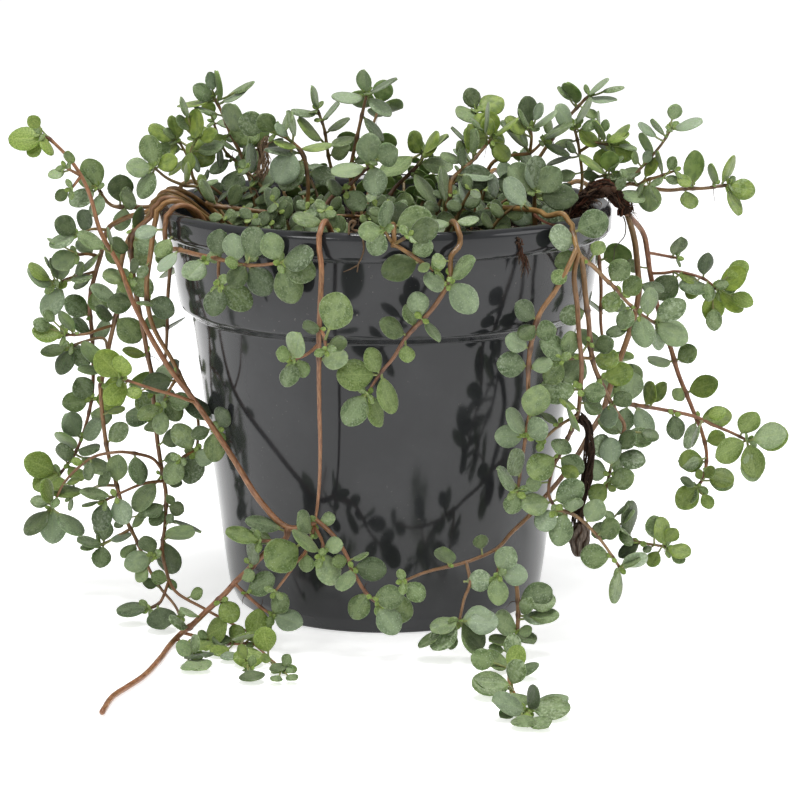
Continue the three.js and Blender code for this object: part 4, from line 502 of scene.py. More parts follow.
def smooth_route(points):
    """A smooth curve through the points. Position t counts them: 2.5 lies between the third and fourth."""
    last = len(points) - 1
    every = [2 * points[0] - points[1], *points, 2 * points[last] - points[last - 1]]

    def at(t):
        held = min(max(t, 0), last)
        i = min(int(held), last - 1)
        u = held - i
        a, b, c, d = every[i:i + 4]
        slope_in = (c - a) / 2
        slope_out = (d - b) / 2
        bend = 2 * b - 2 * c + slope_in + slope_out
        rise = -3 * b + 3 * c - 2 * slope_in - slope_out
        return ((bend * u + rise) * u + slope_in) * u + b

    return at, last


class Bar:
    """A stem or side shoot: its middle line and its width along it."""

    def __init__(self, points, wide, end, sunk=None):
        self.at, self.last = smooth_route(points)
        self.wide = wide
        self.end = min(end, wide)
        self.sunk = sunk
        places = []
        for i in range(self.last):
            steps = max(2, round(np.linalg.norm(points[i + 1] - points[i]) / STEM_STEP))
            places += [i + k / steps for k in range(steps)]
        self.places = [*places, self.last]
        self.line = np.array([self.point(t) for t in self.places])
        self.feet = []

    def point(self, t):
        return clear_of_pot(self.at(t), self.wide / 2)

    def width_at(self, t):
        return self.wide + (self.end - self.wide) * (t / self.last) ** 2


def back_stems():
    """The stems at the back, of the same habit: some trail over the rim, some stand in the pot."""
    draw = draws_from(SEED)
    found = []
    for k in range(BACK_TRAILING):
        angle = 26 + k * (128 / (BACK_TRAILING - 1)) + (draw() - 0.5) * 8
        long = 34 + draw() * 52
        sway = (draw() - 0.5) * 16
        route = [("rim", angle)]
        for i in (1, 2, 3):
            part = i / 3
            out = RIM_RADIUS + 4.5 + 5 * part * draw()
            route.append(("round", angle + sway * part ** 2, out, 98 - long * part))
        found.append({"name": f"stem_back_{k + 1}", "root": (angle + 3, 45), "thick": 1.6, "route": route})
    for k in range(BACK_STANDING):
        angle = 40 + k * (104 / (BACK_STANDING - 1))
        r = 24 + draw() * 14
        high = 118 + draw() * 12
        route = [
            ("round", angle + 6, r + 2, (high + SOIL_TOP) / 2 + 2),
            ("round", angle + 14 * (draw() - 0.5), r + 6, high),
        ]
        found.append({"name": f"stem_rear_{k + 1}", "root": (angle, r), "thick": 1.3, "route": route})
    return found


def lay_out():
    """The bars of every stem by name, and the node that each stem is part of."""
    bars = {}
    node_of = {}
    for stem in [*STEMS, *back_stems()]:
        radius = stem["thick"] / 2
        sunk = None
        if "root" in stem:
            x, y, _ = round_pot(*stem["root"], 0)
            sunk = np.array([x, y, soil_height(x, y) - ROOT_DEPTH])
            points = [np.array([x, y, soil_height(x, y) + ROOT_RISE])]
            node_of[stem["name"]] = stem["name"]
        else:
            parent, place = stem["from"]
            points = [bars[parent][0].point(place)]
            node_of[stem["name"]] = node_of[parent]
        for step in stem["route"]:
            points += step_points(step, radius)
        main = Bar(points, stem["thick"], stem.get("end", TIP_WIDTH), sunk)
        bars[stem["name"]] = [main]
        for place, way in stem.get("shoots", []):
            shoot = [main.point(place), *(seen(spot, SHOOT_WIDTH / 2) for spot in way)]
            bars[stem["name"]].append(Bar(shoot, SHOOT_WIDTH, TIP_WIDTH))
        for way in TWIGS.get(stem["name"], []):
            twig = [seen(spot, TIP_WIDTH / 2) for spot in way]
            bars[stem["name"]].append(Bar(twig, TIP_WIDTH, TIP_WIDTH))
    return bars, node_of


# Leaves, read from the flat undersides of the solids' blades

class Leaf:
    """A blade by its base, the way it points, its upper face and its sizes. Its foot is where its petiole
    leaves the stem."""

    def __init__(self, base, tip, face, wide):
        self.base = base
        self.long = np.linalg.norm(tip - base)
        self.ahead = unit(tip - base)
        self.face = unit(face - self.ahead * (face @ self.ahead))
        self.side = np.cross(self.face, self.ahead)
        self.wide = wide
        self.foot = base - self.ahead * PETIOLE_LEAST
        self.tint = (0, 0, 0)
        self.look = None


def triangles_of(mesh):
    """A mesh's points, with those at one place made one, and its triangles."""
    points = np.zeros(len(mesh.vertices) * 3)
    mesh.vertices.foreach_get("co", points)
    points = points.reshape(-1, 3) / MM
    keys, index = np.unique(np.round(points / SAME_PLACE).astype(np.int64), axis=0, return_inverse=True)
    index = index.reshape(-1)
    place = np.zeros((len(keys), 3))
    place[index] = points
    mesh.calc_loop_triangles()
    corners = np.zeros(len(mesh.loop_triangles) * 3, dtype=np.int64)
    mesh.loop_triangles.foreach_get("vertices", corners)
    triangles = index[corners.reshape(-1, 3)]
    whole = [len({*triangle}) == 3 for triangle in triangles.tolist()]
    return place, triangles[whole]


def edges_of(triangle):
    i, j, k = triangle
    return (i, j), (j, k), (k, i)


def faces_by_edge(triangles):
    """The triangles that meet at each edge."""
    beside = {}
    for f, triangle in enumerate(triangles.tolist()):
        for edge in edges_of(triangle):
            beside.setdefault(frozenset(edge), []).append(f)
    return beside


def flat_groups(normals, beside):
    """The triangles in groups that lie flat together."""
    group = list(range(len(normals)))

    def top(f):
        while group[f] != f:
            group[f] = group[group[f]]
            f = group[f]
        return f

    for faces in beside.values():
        if len(faces) == 2 and normals[faces[0]] @ normals[faces[1]] > SAME_WAY:
            group[top(faces[0])] = top(faces[1])
    members = {}
    for f in range(len(normals)):
        members.setdefault(top(f), []).append(f)
    return members.values()


def outline(faces, triangles, beside):
    """The points round a group of triangles, in order."""
    inside = {*faces}
    after = {}
    for f in faces:
        for edge in edges_of(triangles[f].tolist()):
            if not inside.issuperset(beside[frozenset(edge)]):
                after.setdefault(*edge)
    loop = [next(iter(after))]
    while after.get(loop[-1], loop[0]) != loop[0] and len(loop) <= len(after):
        loop.append(after[loop[-1]])
    return loop


def flat_patches(mesh):
    """The larger flat patches of a mesh: area, outward normal and corners in order."""
    place, triangles = triangles_of(mesh)
    a, b, c = (place[triangles[:, k]] for k in range(3))
    normals = np.cross(b - a, c - a)
    areas = np.linalg.norm(normals, axis=1) / 2
    normals /= np.maximum(2 * areas, 1e-12)[:, None]
    beside = faces_by_edge(triangles)
    for faces in flat_groups(normals, beside):
        area = areas[faces].sum()
        if area < SMALLEST_PATCH:
            continue
        normal = unit((normals[faces] * areas[faces][:, None]).sum(0))
        ring = place[outline(faces, triangles, beside)]
        into = ring - np.roll(ring, 1, axis=0)
        out = np.roll(ring, -1, axis=0) - ring
        straight = (into * out).sum(1) / np.linalg.norm(into, axis=1) / np.linalg.norm(out, axis=1)
        yield area, normal, ring[straight < STRAIGHT]


def leaf_from(area, normal, corners):
    """The leaf whose underside has these corners, or None: it is even about a line from its root edge."""
    if not CORNERS[0] <= len(corners) <= CORNERS[1]:
        return None
    best = None
    for i, j in itertools.combinations(range(len(corners)), 2):
        edge = corners[i] - corners[j]
        if abs(np.linalg.norm(edge) - ROOT_EDGE) > ROOT_EDGE_SLACK:
            continue
        base = (corners[i] + corners[j]) / 2
        across = unit(edge)
        reach = (corners - base) @ np.cross(across, normal)
        sense = 1 if reach.max() > -reach.min() else -1
        tip = corners[int(np.argmax(reach * sense))]
        long = np.linalg.norm(tip - base)
        wide = 2 * np.abs((corners - base) @ across).max()
        slant = abs((tip - base) @ across) / max(long, 1e-9)
        oval = WIDTH_SHARE[0] < wide / long < WIDTH_SHARE[1]
        full = AREA_SHARE[0] < area / (long * wide) < AREA_SHARE[1]
        fits = long > SHORTEST_LEAF and oval and full and slant < MOST_SLANT
        if fits and (best is None or slant < best[0]):
            best = (slant, Leaf(base, tip, -normal, wide))
    return best and best[1]


def leaves_of(node):
    """The leaves in a node's solid, in an order that doesn't depend on how its faces are listed."""
    found = [leaf_from(*patch) for patch in flat_patches(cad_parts[node].data)]
    return sorted((leaf for leaf in found if leaf), key=lambda leaf: tuple(np.round(leaf.base, 1)))


def join_to_bar(leaf, bars):
    """Finds where a leaf's petiole leaves its stem: the place on a bar behind its base."""
    best = None
    for bar in bars:
        back = leaf.base - bar.line
        reach = back @ leaf.ahead
        aside = np.linalg.norm(back - reach[:, None] * leaf.ahead, axis=1)
        behind = (reach > NEAREST_REACH) & (reach < PETIOLE_REACH)
        miss = np.where(behind, aside + 0.05 * reach, np.inf)
        k = int(np.argmin(miss))
        if best is None or miss[k] < best[0]:
            best = (miss[k], bar, k)
    if best[0] < MOST_MISS:
        _, bar, k = best
        leaf.foot = bar.line[k]
        bar.feet.append((bar.places[k], leaf))


def grown(leaf):
    """The full blade of a leaf: its rounded base comes in toward the stem."""
    back = leaf.base - leaf.foot
    stalk = np.linalg.norm(back)
    kept = min(stalk, STALK_LEAST + STALK_PART * stalk)
    base = leaf.foot + unit(back) * kept
    tip = leaf.base + leaf.ahead * leaf.long
    long = min(np.linalg.norm(tip - base), max(leaf.long, LARGEST_BLADE))
    base = tip - unit(tip - base) * long
    full = Leaf(base, tip, leaf.face, leaf.wide * (long / leaf.long) ** WIDENING)
    full.foot = leaf.foot
    return full


def opened(leaf, draw):
    """A leaf that is seen on its edge, rolled a little about its own length so that its face shows."""
    view = unit(leaf.base - np.array([0, -EYE_AWAY, EYE_UP]))
    least = (LEAST_TURN_HIGH if leaf.base[2] > HIGH_UP else LEAST_TURN) + TURN_SPREAD * draw()
    across = math.hypot(leaf.face @ view, leaf.side @ view)
    if abs(leaf.face @ view) >= least or across < least + 0.05:
        return leaf
    now = math.asin(leaf.face @ view / across)
    wanted = math.copysign(math.asin(least / across), now)
    roll = wanted - now
    if leaf.side @ view < 0:
        roll = -roll
    face = leaf.face * math.cos(roll) + leaf.side * math.sin(roll)
    turned = Leaf(leaf.base, leaf.base + leaf.ahead * leaf.long, face, leaf.wide)
    turned.foot = leaf.foot
    return turned


def bud_leaves(centre, way, sizes, draw):
    """Pairs of small leaves crosswise round a growing point, the inner ones steeper."""
    face = unit(0.6 * way + light_at(centre) + 0.3 * spray(draw))
    side = unit(np.cross(face, UP if abs(face[2]) < 0.9 else ACROSS))
    over = np.cross(face, side)
    spin = draw() * math.pi
    found = []
    for k, size in enumerate(sizes):
        lift = 0.3 + 0.45 * k
        for half in (0, math.pi):
            turn = spin + half + k * math.pi / 2
            out = side * math.cos(turn) + over * math.sin(turn)
            ahead = out * math.cos(lift) + face * math.sin(lift)
            base = centre + way * 0.25 + out * 0.2
            long = size * (0.9 + 0.2 * draw())
            leaf = Leaf(base, base + ahead * long, face * math.cos(lift) - out * math.sin(lift), long * 0.8)
            leaf.foot = centre
            found.append(leaf)
    return found


def light_at(point):
    """The way that leaves here face: up, a little outward, and to the front except at the back."""
    r = max(math.hypot(point[0], point[1]), 1)
    ahead = -0.75 if point[1] < BACK_DEPTH else 0.3
    return unit(np.array([point[0] / r * 0.35, ahead + point[1] / r * 0.35, 0.5]))


def depth_on_surface(up):
    """How far back something can be that is seen at this height and lies on the surface."""
    return EYE_AWAY * ((EYE_UP - LEAF_LIFT) / (EYE_UP - up) - 1) if up < 0 else math.inf


def seen_from_front(point):
    """Where a point is seen, across and up, as the routes are read."""
    near = (EYE_AWAY + point[1]) / EYE_AWAY
    return point[0] / near, EYE_UP + (point[2] - EYE_UP) / near


def leaf_about(middle, ahead, face, long):
    """A small leaf by the middle of its blade."""
    return Leaf(middle - ahead * long / 2, middle + ahead * long / 2, face, long * LEAF_WIDE)


def best_place(bars, spot, step, depth_weight):
    """How far off natural a leaf's petiole would be, and the place on the bars where it is least so."""
    across, up, long = spot[:3]
    best = (math.inf, None)
    for bar in bars:
        for point in bar.line[::step]:
            far = math.dist((across, up), seen_from_front(point))
            miss = abs(far - long * PLACE_PART) + depth_weight * point[1]
            if miss < best[0]:
                best = (miss, point)
    return best


def small_leaf(bars_of, spot, draw):
    """The node and the blade of a small leaf, drawn as it is seen: where, how long and how wide."""
    across, up, long, wide = spot[:4]
    leafy = [name for name in bars_of if not name.startswith(WITHOUT_SMALL_LEAVES)]
    places = {name: best_place(bars_of[name], spot, 2, DEPTH_WEIGHT) for name in leafy}
    name = min(leafy, key=lambda name: places[name][0])
    foot = places[name][1]
    depth = min(foot[1] - 1 - 2 * draw(), depth_on_surface(up))
    middle = seen((across, up, depth), BLADE_CLEAR)
    eye = unit(np.array([0, -EYE_AWAY, EYE_UP]) - middle)
    ahead = middle - foot + 0.8 * np.array([draw() - 0.5, 0, draw() - 0.5])
    ahead = unit(ahead - eye * (ahead @ eye) * 0.7)
    side = unit(np.cross(ahead, eye))
    over = np.cross(side, ahead)
    shown = min(wide / (long * LEAF_WIDE), 1)
    tilt = math.sqrt(1 - shown ** 2) * (1 if side[2] > 0 else -1)
    face = over * shown + side * tilt
    if middle[2] < long / 2:
        ahead = unit(ahead * np.array([1, 1, 0.15]))
        face = unit(UP + 0.6 * eye)
    leaf = leaf_about(middle, ahead, face, long)
    stalk = foot - leaf.base
    reach = np.linalg.norm(stalk)
    leaf.foot = leaf.base + stalk * min(1, LONGEST_STALK / max(reach, 1e-6))
    leaf.look = LOOKS[spot[4] if len(spot) > 4 else "plain"]
    return name, leaf


def young_leaf(bars, spot, draw):
    """A young leaf where it is seen, joined to its stem where that leaves it a natural petiole."""
    across, up, long = spot[:3]
    foot = best_place(bars, spot, 3, 0)[1]
    depth = foot[1] - 1.5 + 3 * (draw() - 0.5)
    middle = seen((across, up, min(depth, depth_on_surface(up))), BLADE_CLEAR)
    facing = np.array(FACES[spot[3]]) if len(spot) > 3 else light_at(foot)
    facing = facing + 0.4 * spray(draw)
    leaf = leaf_about(middle, unit(middle - foot), facing, long)
    leaf.foot = foot
    return leaf


# Meshes

# The lowest that any mesh and the middle of a rootlet may lie
LOWEST = 0.05
LOWEST_FIBRE = 0.3

# The rows and columns of points over a blade, and over one too small to show so many
BLADE_ROWS = 11
BLADE_COLUMNS = (-1, -0.88, -0.62, -0.32, -0.09, 0, 0.09, 0.32, 0.62, 0.88, 1)
SMALL_ROWS = 8
SMALL_COLUMNS = (-1, -0.8, -0.35, 0, 0.35, 0.8, 1)

# A blade's thickness, veins and outline. Places are parts of its length or of half its width
BLADE_FOOT = 0.012
TIP_HALF = 0.12
RIM_TOP = 0.13
RIM_UNDER = 0.02
BELLY = 0.1
UNDER_SHARE = 0.985
MIDRIB_DEPTH = 0.07
SIDE_VEIN = 0.47
SIDE_VEIN_DEPTH = 0.03
VEIN_WIDE = 0.1

# The dome that ends a bar: its height and the width of its top, as parts of the bar's radius
DOME_HIGH = 0.7
DOME_TOP = 0.4

# How far apart the fine grain of neighbouring stems and leaves is taken
GRAIN_STEP = 7.3
LEAF_GRAIN_STEP = 11.3

# A petiole's width at its steps from the stem to inside the blade, as parts of its usual one
PETIOLE_SHAPE = np.array([1.5, 1.1, 1.0, 1.0, 1.05, 1.1, 0.6])
PETIOLE_SIDES = 5

# The plant's materials, and those of the crumbs, by their places in a piece's list
LEAF, STEM, ROOT = 0, 1, 2
MIX, GRIT, BARK = 0, 1, 2


def placed(name, data):
    """A new object in the scene, made of this mesh, lens or lamp."""
    item = bpy.data.objects.new(name, data)
    bpy.context.scene.collection.objects.link(item)
    return item


class Pieces:
    """Vertices, faces and painted values gathered for one object."""

    def __init__(self, name, materials):
        self.name = name
        self.materials = materials
        self.points = []
        self.faces = []
        self.kinds = []
        self.spot = []
        self.blade = []
        self.tint = []
        self.count = 0

    def add(self, points, faces, kind, spot, blade, tint):
        """Adds a patch: spot places its fine grain, blade says where on it a point is, tint its colour."""
        n = len(points)
        self.points.append(np.asarray(points, float))
        self.faces += [tuple(i + self.count for i in face) for face in faces]
        self.kinds += [kind] * len(faces)
        self.spot.append(np.broadcast_to(spot, (n, 3)))
        self.blade.append(np.broadcast_to(blade, (n, 3)))
        self.tint.append(np.broadcast_to(tint, (n, 3)))
        self.count += n

    def make(self, slot, *nodes):
        """Makes the object, on the part's one body. It stands in for the nodes."""
        points = np.vstack(self.points)
        points[:, 2] = np.maximum(points[:, 2], LOWEST)
        mesh = bpy.data.meshes.new(self.name)
        mesh.from_pydata((points * MM).tolist(), [], self.faces)
        for material in self.materials:
            mesh.materials.append(material)
        mesh.polygons.foreach_set("material_index", self.kinds)
        mesh.polygons.foreach_set("use_smooth", [True] * len(self.faces))
        for key in ("spot", "blade", "tint"):
            painted = mesh.attributes.new(key, "FLOAT_VECTOR", "POINT")
            painted.data.foreach_set("vector", np.vstack(getattr(self, key)).ravel())
        mesh.update()
        piece = placed(self.name, mesh)
        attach(piece, "root")
        if nodes:
            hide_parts(*nodes)


def grid_faces(rows, columns, closed):
    """The faces of a grid of points, row by row; a closed one joins its last column to its first."""
    spans = columns if closed else columns - 1
    faces = []
    for i in range(rows - 1):
        for j in range(spans):
            k = (j + 1) % columns
            faces.append((i * columns + j, i * columns + k, (i + 1) * columns + k, (i + 1) * columns + j))
    return faces


def closed_faces(rows, sides):
    """The faces of a closed round body: its grid, and one face over each end."""
    faces = grid_faces(rows, sides, True)
    faces.append(tuple(reversed(range(sides))))
    faces.append(tuple((rows - 1) * sides + j for j in range(sides)))
    return faces


def tube(pieces, line, radii, sides, kind, tint, mark=None, shift=0.0, rough=0.0):
    """A round bar along a line, with a small dome at each end. Mark and tint may change along it, shift
    moves its fine grain, and rough makes it uneven."""
    line = np.asarray(line, float)
    radii = np.broadcast_to(radii, len(line)).astype(float)
    ways = np.gradient(line, axis=0)
    ways /= np.maximum(np.linalg.norm(ways, axis=1), 1e-9)[:, None]
    start = line[0] - ways[0] * radii[0] * DOME_HIGH
    finish = line[-1] + ways[-1] * radii[-1] * DOME_HIGH
    line = np.vstack([start, line, finish])
    radii = np.concatenate([[radii[0] * DOME_TOP], radii, [radii[-1] * DOME_TOP]])
    ways = np.vstack([ways[:1], ways, ways[-1:]])
    mark = np.zeros(len(line)) if mark is None else np.concatenate([mark[:1], mark, mark[-1:]])
    tint = np.broadcast_to(tint, (len(line) - 2, 3))
    tint = np.vstack([tint[:1], tint, tint[-1:]])
    run = np.concatenate([[0], np.cumsum(np.linalg.norm(np.diff(line, axis=0), axis=1))])
    side = unit(np.cross(ways[0], UP if abs(ways[0][2]) < 0.8 else ACROSS))
    turns = np.arange(sides) * 2 * math.pi / sides
    points = []
    spots = []
    for i, centre in enumerate(line):
        side = unit(side - ways[i] * (side @ ways[i]))
        over = np.cross(ways[i], side)
        waves = np.sin(turns * 3 + run[i] * 1.7 + shift) * math.sin(run[i] * 2.3 + shift)
        ring = radii[i] * (1 + rough * waves)
        points.append(centre + np.outer(ring * np.cos(turns), side) + np.outer(ring * np.sin(turns), over))
        grain = np.full(sides, run[i] + shift * GRAIN_STEP)
        spots.append(np.column_stack([np.cos(turns), np.sin(turns), grain]))
    faces = closed_faces(len(line), sides)
    along = run / max(run[-1], 1e-9)
    blade = np.repeat(np.column_stack([mark, along, np.zeros(len(line))]), sides, axis=0)
    pieces.add(np.vstack(points), faces, kind, np.vstack(spots), blade, np.repeat(tint, sides, axis=0))


def blade_faces(rows, columns):
    """The faces of a blade: its top, its underside and the rim between them."""
    top = grid_faces(rows, columns, False)
    n = rows * columns
    under = [tuple(n + k for k in reversed(face)) for face in top]
    rim = [i * columns for i in range(rows)]
    rim += [(rows - 1) * columns + j for j in range(1, columns)]
    rim += [i * columns + columns - 1 for i in range(rows - 2, -1, -1)]
    rim += list(range(columns - 2, 0, -1))
    edge = [(a, b, n + b, n + a) for a, b in zip(rim, rim[1:] + rim[:1])]
    return top + under + edge


def blade_mesh(pieces, leaf, draw, number):
    """A leaf's blade: a smooth fleshy oval, a little cupped, bent and veined, with a thin rim. The number
    moves its fine grain."""
    cup = -0.05 + 0.13 * draw()
    bend = -0.1 + 0.2 * draw()
    twist = 0.16 * (draw() - 0.5)
    full = (0.26 + 0.12 * draw()) * min(1, leaf.long / SMALL_BLADE)
    tops = []
    unders = []
    spots = []
    marks = []
    half = leaf.wide / 2
    small = leaf.long < SMALL_BLADE
    rows = SMALL_ROWS if small else BLADE_ROWS
    across = SMALL_COLUMNS if small else BLADE_COLUMNS
    for i in range(rows):
        s = 0.5 - 0.5 * math.cos(math.pi * i / (rows - 1))
        s = BLADE_FOOT + (1 - BLADE_FOOT) * s
        body = max(math.sin(math.pi * min(s, 0.9995) ** 1.06), 0.0)
        spread = half * body ** (0.66 - 0.16 * s)
        if i == rows - 1:
            spread = TIP_HALF
        along = s * leaf.long
        fade = min(1, 2 * spread / half)
        for y in across:
            rise = bend * (s - 0.5) * s * leaf.long
            rise += cup * y * y * leaf.wide + twist * y * s * leaf.wide / 2
            crown = full * (1 - y ** 4) * min(1, 3 * spread / half)
            midrib = MIDRIB_DEPTH * math.exp(-(y / VEIN_WIDE) ** 2)
            side_vein = SIDE_VEIN_DEPTH * math.exp(-((abs(y) - SIDE_VEIN) / VEIN_WIDE) ** 2)
            high = rise + RIM_TOP + crown - (midrib + side_vein) * fade
            low = rise - BELLY * (1 - y * y) * fade + RIM_UNDER
            tops.append((along, y * spread, high))
            unders.append((along, y * spread * UNDER_SHARE, low))
            spots.append((along, y * spread, number * LEAF_GRAIN_STEP))
            marks.append((s, y))
    points = leaf.base + np.array(tops + unders) @ np.array([leaf.ahead, leaf.side, leaf.face])
    under = [0] * len(tops) + [1] * len(unders)
    blade = np.column_stack([marks * 2, under])
    faces = blade_faces(rows, len(across))
    pieces.add(points, faces, LEAF, np.array(spots * 2), blade, leaf.tint)


def petiole_mesh(pieces, leaf, number):
    """The leaf's stalk, bowed a little, from the stem's middle line to just inside the blade."""
    span = leaf.base - leaf.foot
    middle = leaf.foot + span * 0.55 - leaf.face * 0.08 * np.linalg.norm(span)
    steps = np.linspace(0, 1, 6)[:, None]
    line = (1 - steps) ** 2 * leaf.foot + 2 * steps * (1 - steps) * middle + steps ** 2 * leaf.base
    line = np.vstack([line, leaf.base + leaf.ahead * 0.12 * leaf.long])
    thick = 0.17 + 0.018 * leaf.long
    tube(pieces, line, thick * PETIOLE_SHAPE, PETIOLE_SIDES, STEM, leaf.tint, shift=number)


# Materials

NOISE_ROUGHNESS = 0.55


def srgb(red, green, blue):
    """A colour from screen values of 0 to 255."""
    parts = [c / 255 for c in (red, green, blue)]
    return (*(c / 12.92 if c <= 0.04045 else ((c + 0.055) / 1.055) ** 2.4 for c in parts), 1)


class Paint:
    """A material's nodes. Each call adds one node and gives the output to link on."""

    def __init__(self, name, **sockets):
        self.material = bpy.data.materials.new(name)
        self.material.use_nodes = True
        self.tree = self.material.node_tree
        self.shader = self.tree.nodes["Principled BSDF"]
        for key, value in sockets.items():
            self.set(self.shader, key.replace("_", " "), value)

    def set(self, node, key, value):
        socket = node.inputs[key]
        if isinstance(value, bpy.types.NodeSocket):
            self.tree.links.new(value, socket)
        else:
            socket.default_value = value

    def node(self, kind, output=0, inputs=None, **settings):
        node = self.tree.nodes.new(kind)
        for key, value in settings.items():
            setattr(node, key, value)
        for key, value in (inputs or {}).items():
            self.set(node, key, value)
        return node.outputs[output]

    def painted(self, name):
        return self.node("ShaderNodeAttribute", "Vector", attribute_name=name)

    def parts(self, vector):
        return self.node("ShaderNodeSeparateXYZ", 0, {0: vector}).node.outputs

    def math(self, operation, a, b=0.0):
        return self.node("ShaderNodeMath", 0, {0: a, 1: b}, operation=operation)

    def ramp(self, value, low, high, start=0.0, finish=1.0):
        """Start below low, finish above high and a smooth step between."""
        inputs = {0: value, 1: low, 2: high, 3: start, 4: finish}
        return self.node("ShaderNodeMapRange", 0, inputs, interpolation_type="SMOOTHSTEP")

    def mix(self, share, a, b):
        return self.node("ShaderNodeMix", 2, {0: share, 6: a, 7: b}, data_type="RGBA")

    def noise(self, place, scale, detail):
        inputs = {"Vector": place, "Scale": scale, "Detail": detail, "Roughness": NOISE_ROUGHNESS}
        return self.node("ShaderNodeTexNoise", 0, inputs)

    def dots(self, place, scale, output=0):
        return self.node("ShaderNodeTexVoronoi", output, {"Vector": place, "Scale": scale})

    def object_place(self):
        return self.node("ShaderNodeTexCoord", "Object")

    def stretched(self, place, x, y, z):
        return self.node("ShaderNodeMapping", 0, {"Vector": place, "Scale": (x, y, z)})

    def bump(self, height, distance, strength=1.0):
        inputs = {"Height": height, "Distance": distance, "Strength": strength}
        self.set(self.shader, "Normal", self.node("ShaderNodeBump", 0, inputs))


def silvery(p, place, aside, silver_and_painted_light):
    """A grown leaf's colour and the patches, grain and specks in it. Some leaves are boldly mottled. The
    given
    silver makes a leaf paler: partly its own tone and partly painted light on leaves that face up.
    """
    patch = p.noise(place, 0.5, 3.0)
    inner = p.ramp(aside, 0.1, 1.0, 0.16, -0.14)
    silver = p.ramp(p.math("ADD", patch, inner), 0.38, 0.7)
    colour = p.mix(silver, srgb(64, 84, 46), srgb(108, 126, 90))
    grain = p.noise(place, 2.4, 3.0)
    colour = p.mix(p.ramp(grain, 0.45, 0.62, 0.0, 0.45), colour, srgb(132, 148, 114))
    bold = p.ramp(p.noise(place, 0.04, 1.0), 0.5, 0.62)
    mottle = p.math("MULTIPLY", p.ramp(p.noise(place, 1.4, 3.0), 0.5, 0.6, 0.0, 0.8), bold)
    colour = p.mix(mottle, colour, srgb(156, 170, 142))
    # Paler silver: the leaf's own tone and painted light from above
    colour = p.mix(silver_and_painted_light, colour, srgb(150, 166, 142))
    cells = p.dots(place, 1.7)
    chosen = p.parts(p.dots(place, 1.7, "Color"))[0]
    speck = p.math("MULTIPLY", p.ramp(cells, 0.16, 0.34, 1.0, 0.0), p.ramp(chosen, 0.45, 0.6))
    colour = p.mix(p.math("MULTIPLY", speck, 0.5), colour, srgb(170, 182, 162))
    return colour, patch, grain, speck


def leaf_material():
    """Silvery grey-green with fine pale speckles, paler veins and underside; yellow-green when young. Painted
    shade darkens shaded leaves, painted light from above makes leaves that face up paler, and warm goes to
    olive:
    the leaves' own colour and, at the top, a painted glow of light through them.
    """
    p = Paint("leaf", Specular_IOR_Level=0.38, Subsurface_Weight=0.1, Subsurface_Scale=0.0012,
              Sheen_Weight=0.2, Sheen_Roughness=0.5)
    place = p.painted("spot")
    along, across, under = p.parts(p.painted("blade"))[:3]
    young, warm, shade = p.parts(p.painted("tint"))[:3]
    # Shade over nothing is painted shade; under nothing it is paler silver, the leaf's own tone and painted
    # light from above
    dark = p.math("MAXIMUM", shade, 0.0)
    silver_and_painted_light = p.math("MAXIMUM", p.math("MULTIPLY", shade, -1.0), 0.0)
    aside = p.math("ABSOLUTE", across)
    colour, patch, grain, speck = silvery(p, place, aside, silver_and_painted_light)

    # Paler veins and edge
    midrib = p.ramp(aside, 0.02, 0.075, 0.45, 0.0)
    flank = p.math("ABSOLUTE", p.math("SUBTRACT", aside, SIDE_VEIN))
    flank = p.math("MULTIPLY", p.ramp(flank, 0.02, 0.06, 0.2, 0.0), p.ramp(along, 0.55, 0.85, 1.0, 0.0))
    vein = p.math("MULTIPLY", p.math("MAXIMUM", midrib, flank), p.ramp(along, 0.6, 0.95, 1.0, 0.3))
    colour = p.mix(vein, colour, srgb(132, 150, 110))
    edge = p.math("MAXIMUM", p.ramp(aside, 0.93, 0.99), p.ramp(along, 0.97, 0.995))
    colour = p.mix(p.math("MULTIPLY", edge, 0.45), colour, srgb(142, 156, 122))

    # Young leaves, warm leaves (their own olive and a painted glow of light through them), the underside, the
    # base of the blade and painted shade on shaded leaves
    fresh = p.mix(p.ramp(grain, 0.35, 0.7), srgb(100, 124, 26), srgb(144, 164, 66))
    fresh = p.mix(vein, fresh, srgb(162, 176, 84))
    colour = p.mix(young, colour, fresh)
    olive = p.mix(p.ramp(patch, 0.35, 0.65), srgb(86, 108, 14), srgb(130, 148, 42))
    colour = p.mix(warm, colour, p.mix(p.math("MULTIPLY", vein, 0.7), olive, srgb(136, 154, 68)))
    pale = p.mix(p.ramp(patch, 0.35, 0.65), srgb(84, 110, 40), srgb(114, 138, 64))
    colour = p.mix(p.math("MULTIPLY", under, 0.75), colour, pale)
    base = p.ramp(along, 0.0, 0.16, 0.5, 0.0)
    colour = p.mix(base, colour, srgb(130, 150, 74))
    colour = p.mix(dark, colour, srgb(22, 36, 10))
    p.set(p.shader, "Base Color", colour)
    p.set(p.shader, "Subsurface Radius", (0.5, 1.0, 0.25))
    p.set(p.shader, "Roughness", p.ramp(grain, 0.3, 0.7, 0.56, 0.42))
    relief = p.math("ADD", p.math("MULTIPLY", speck, 0.5), grain)
    p.bump(relief, 0.00008, 0.7)
    return p.material


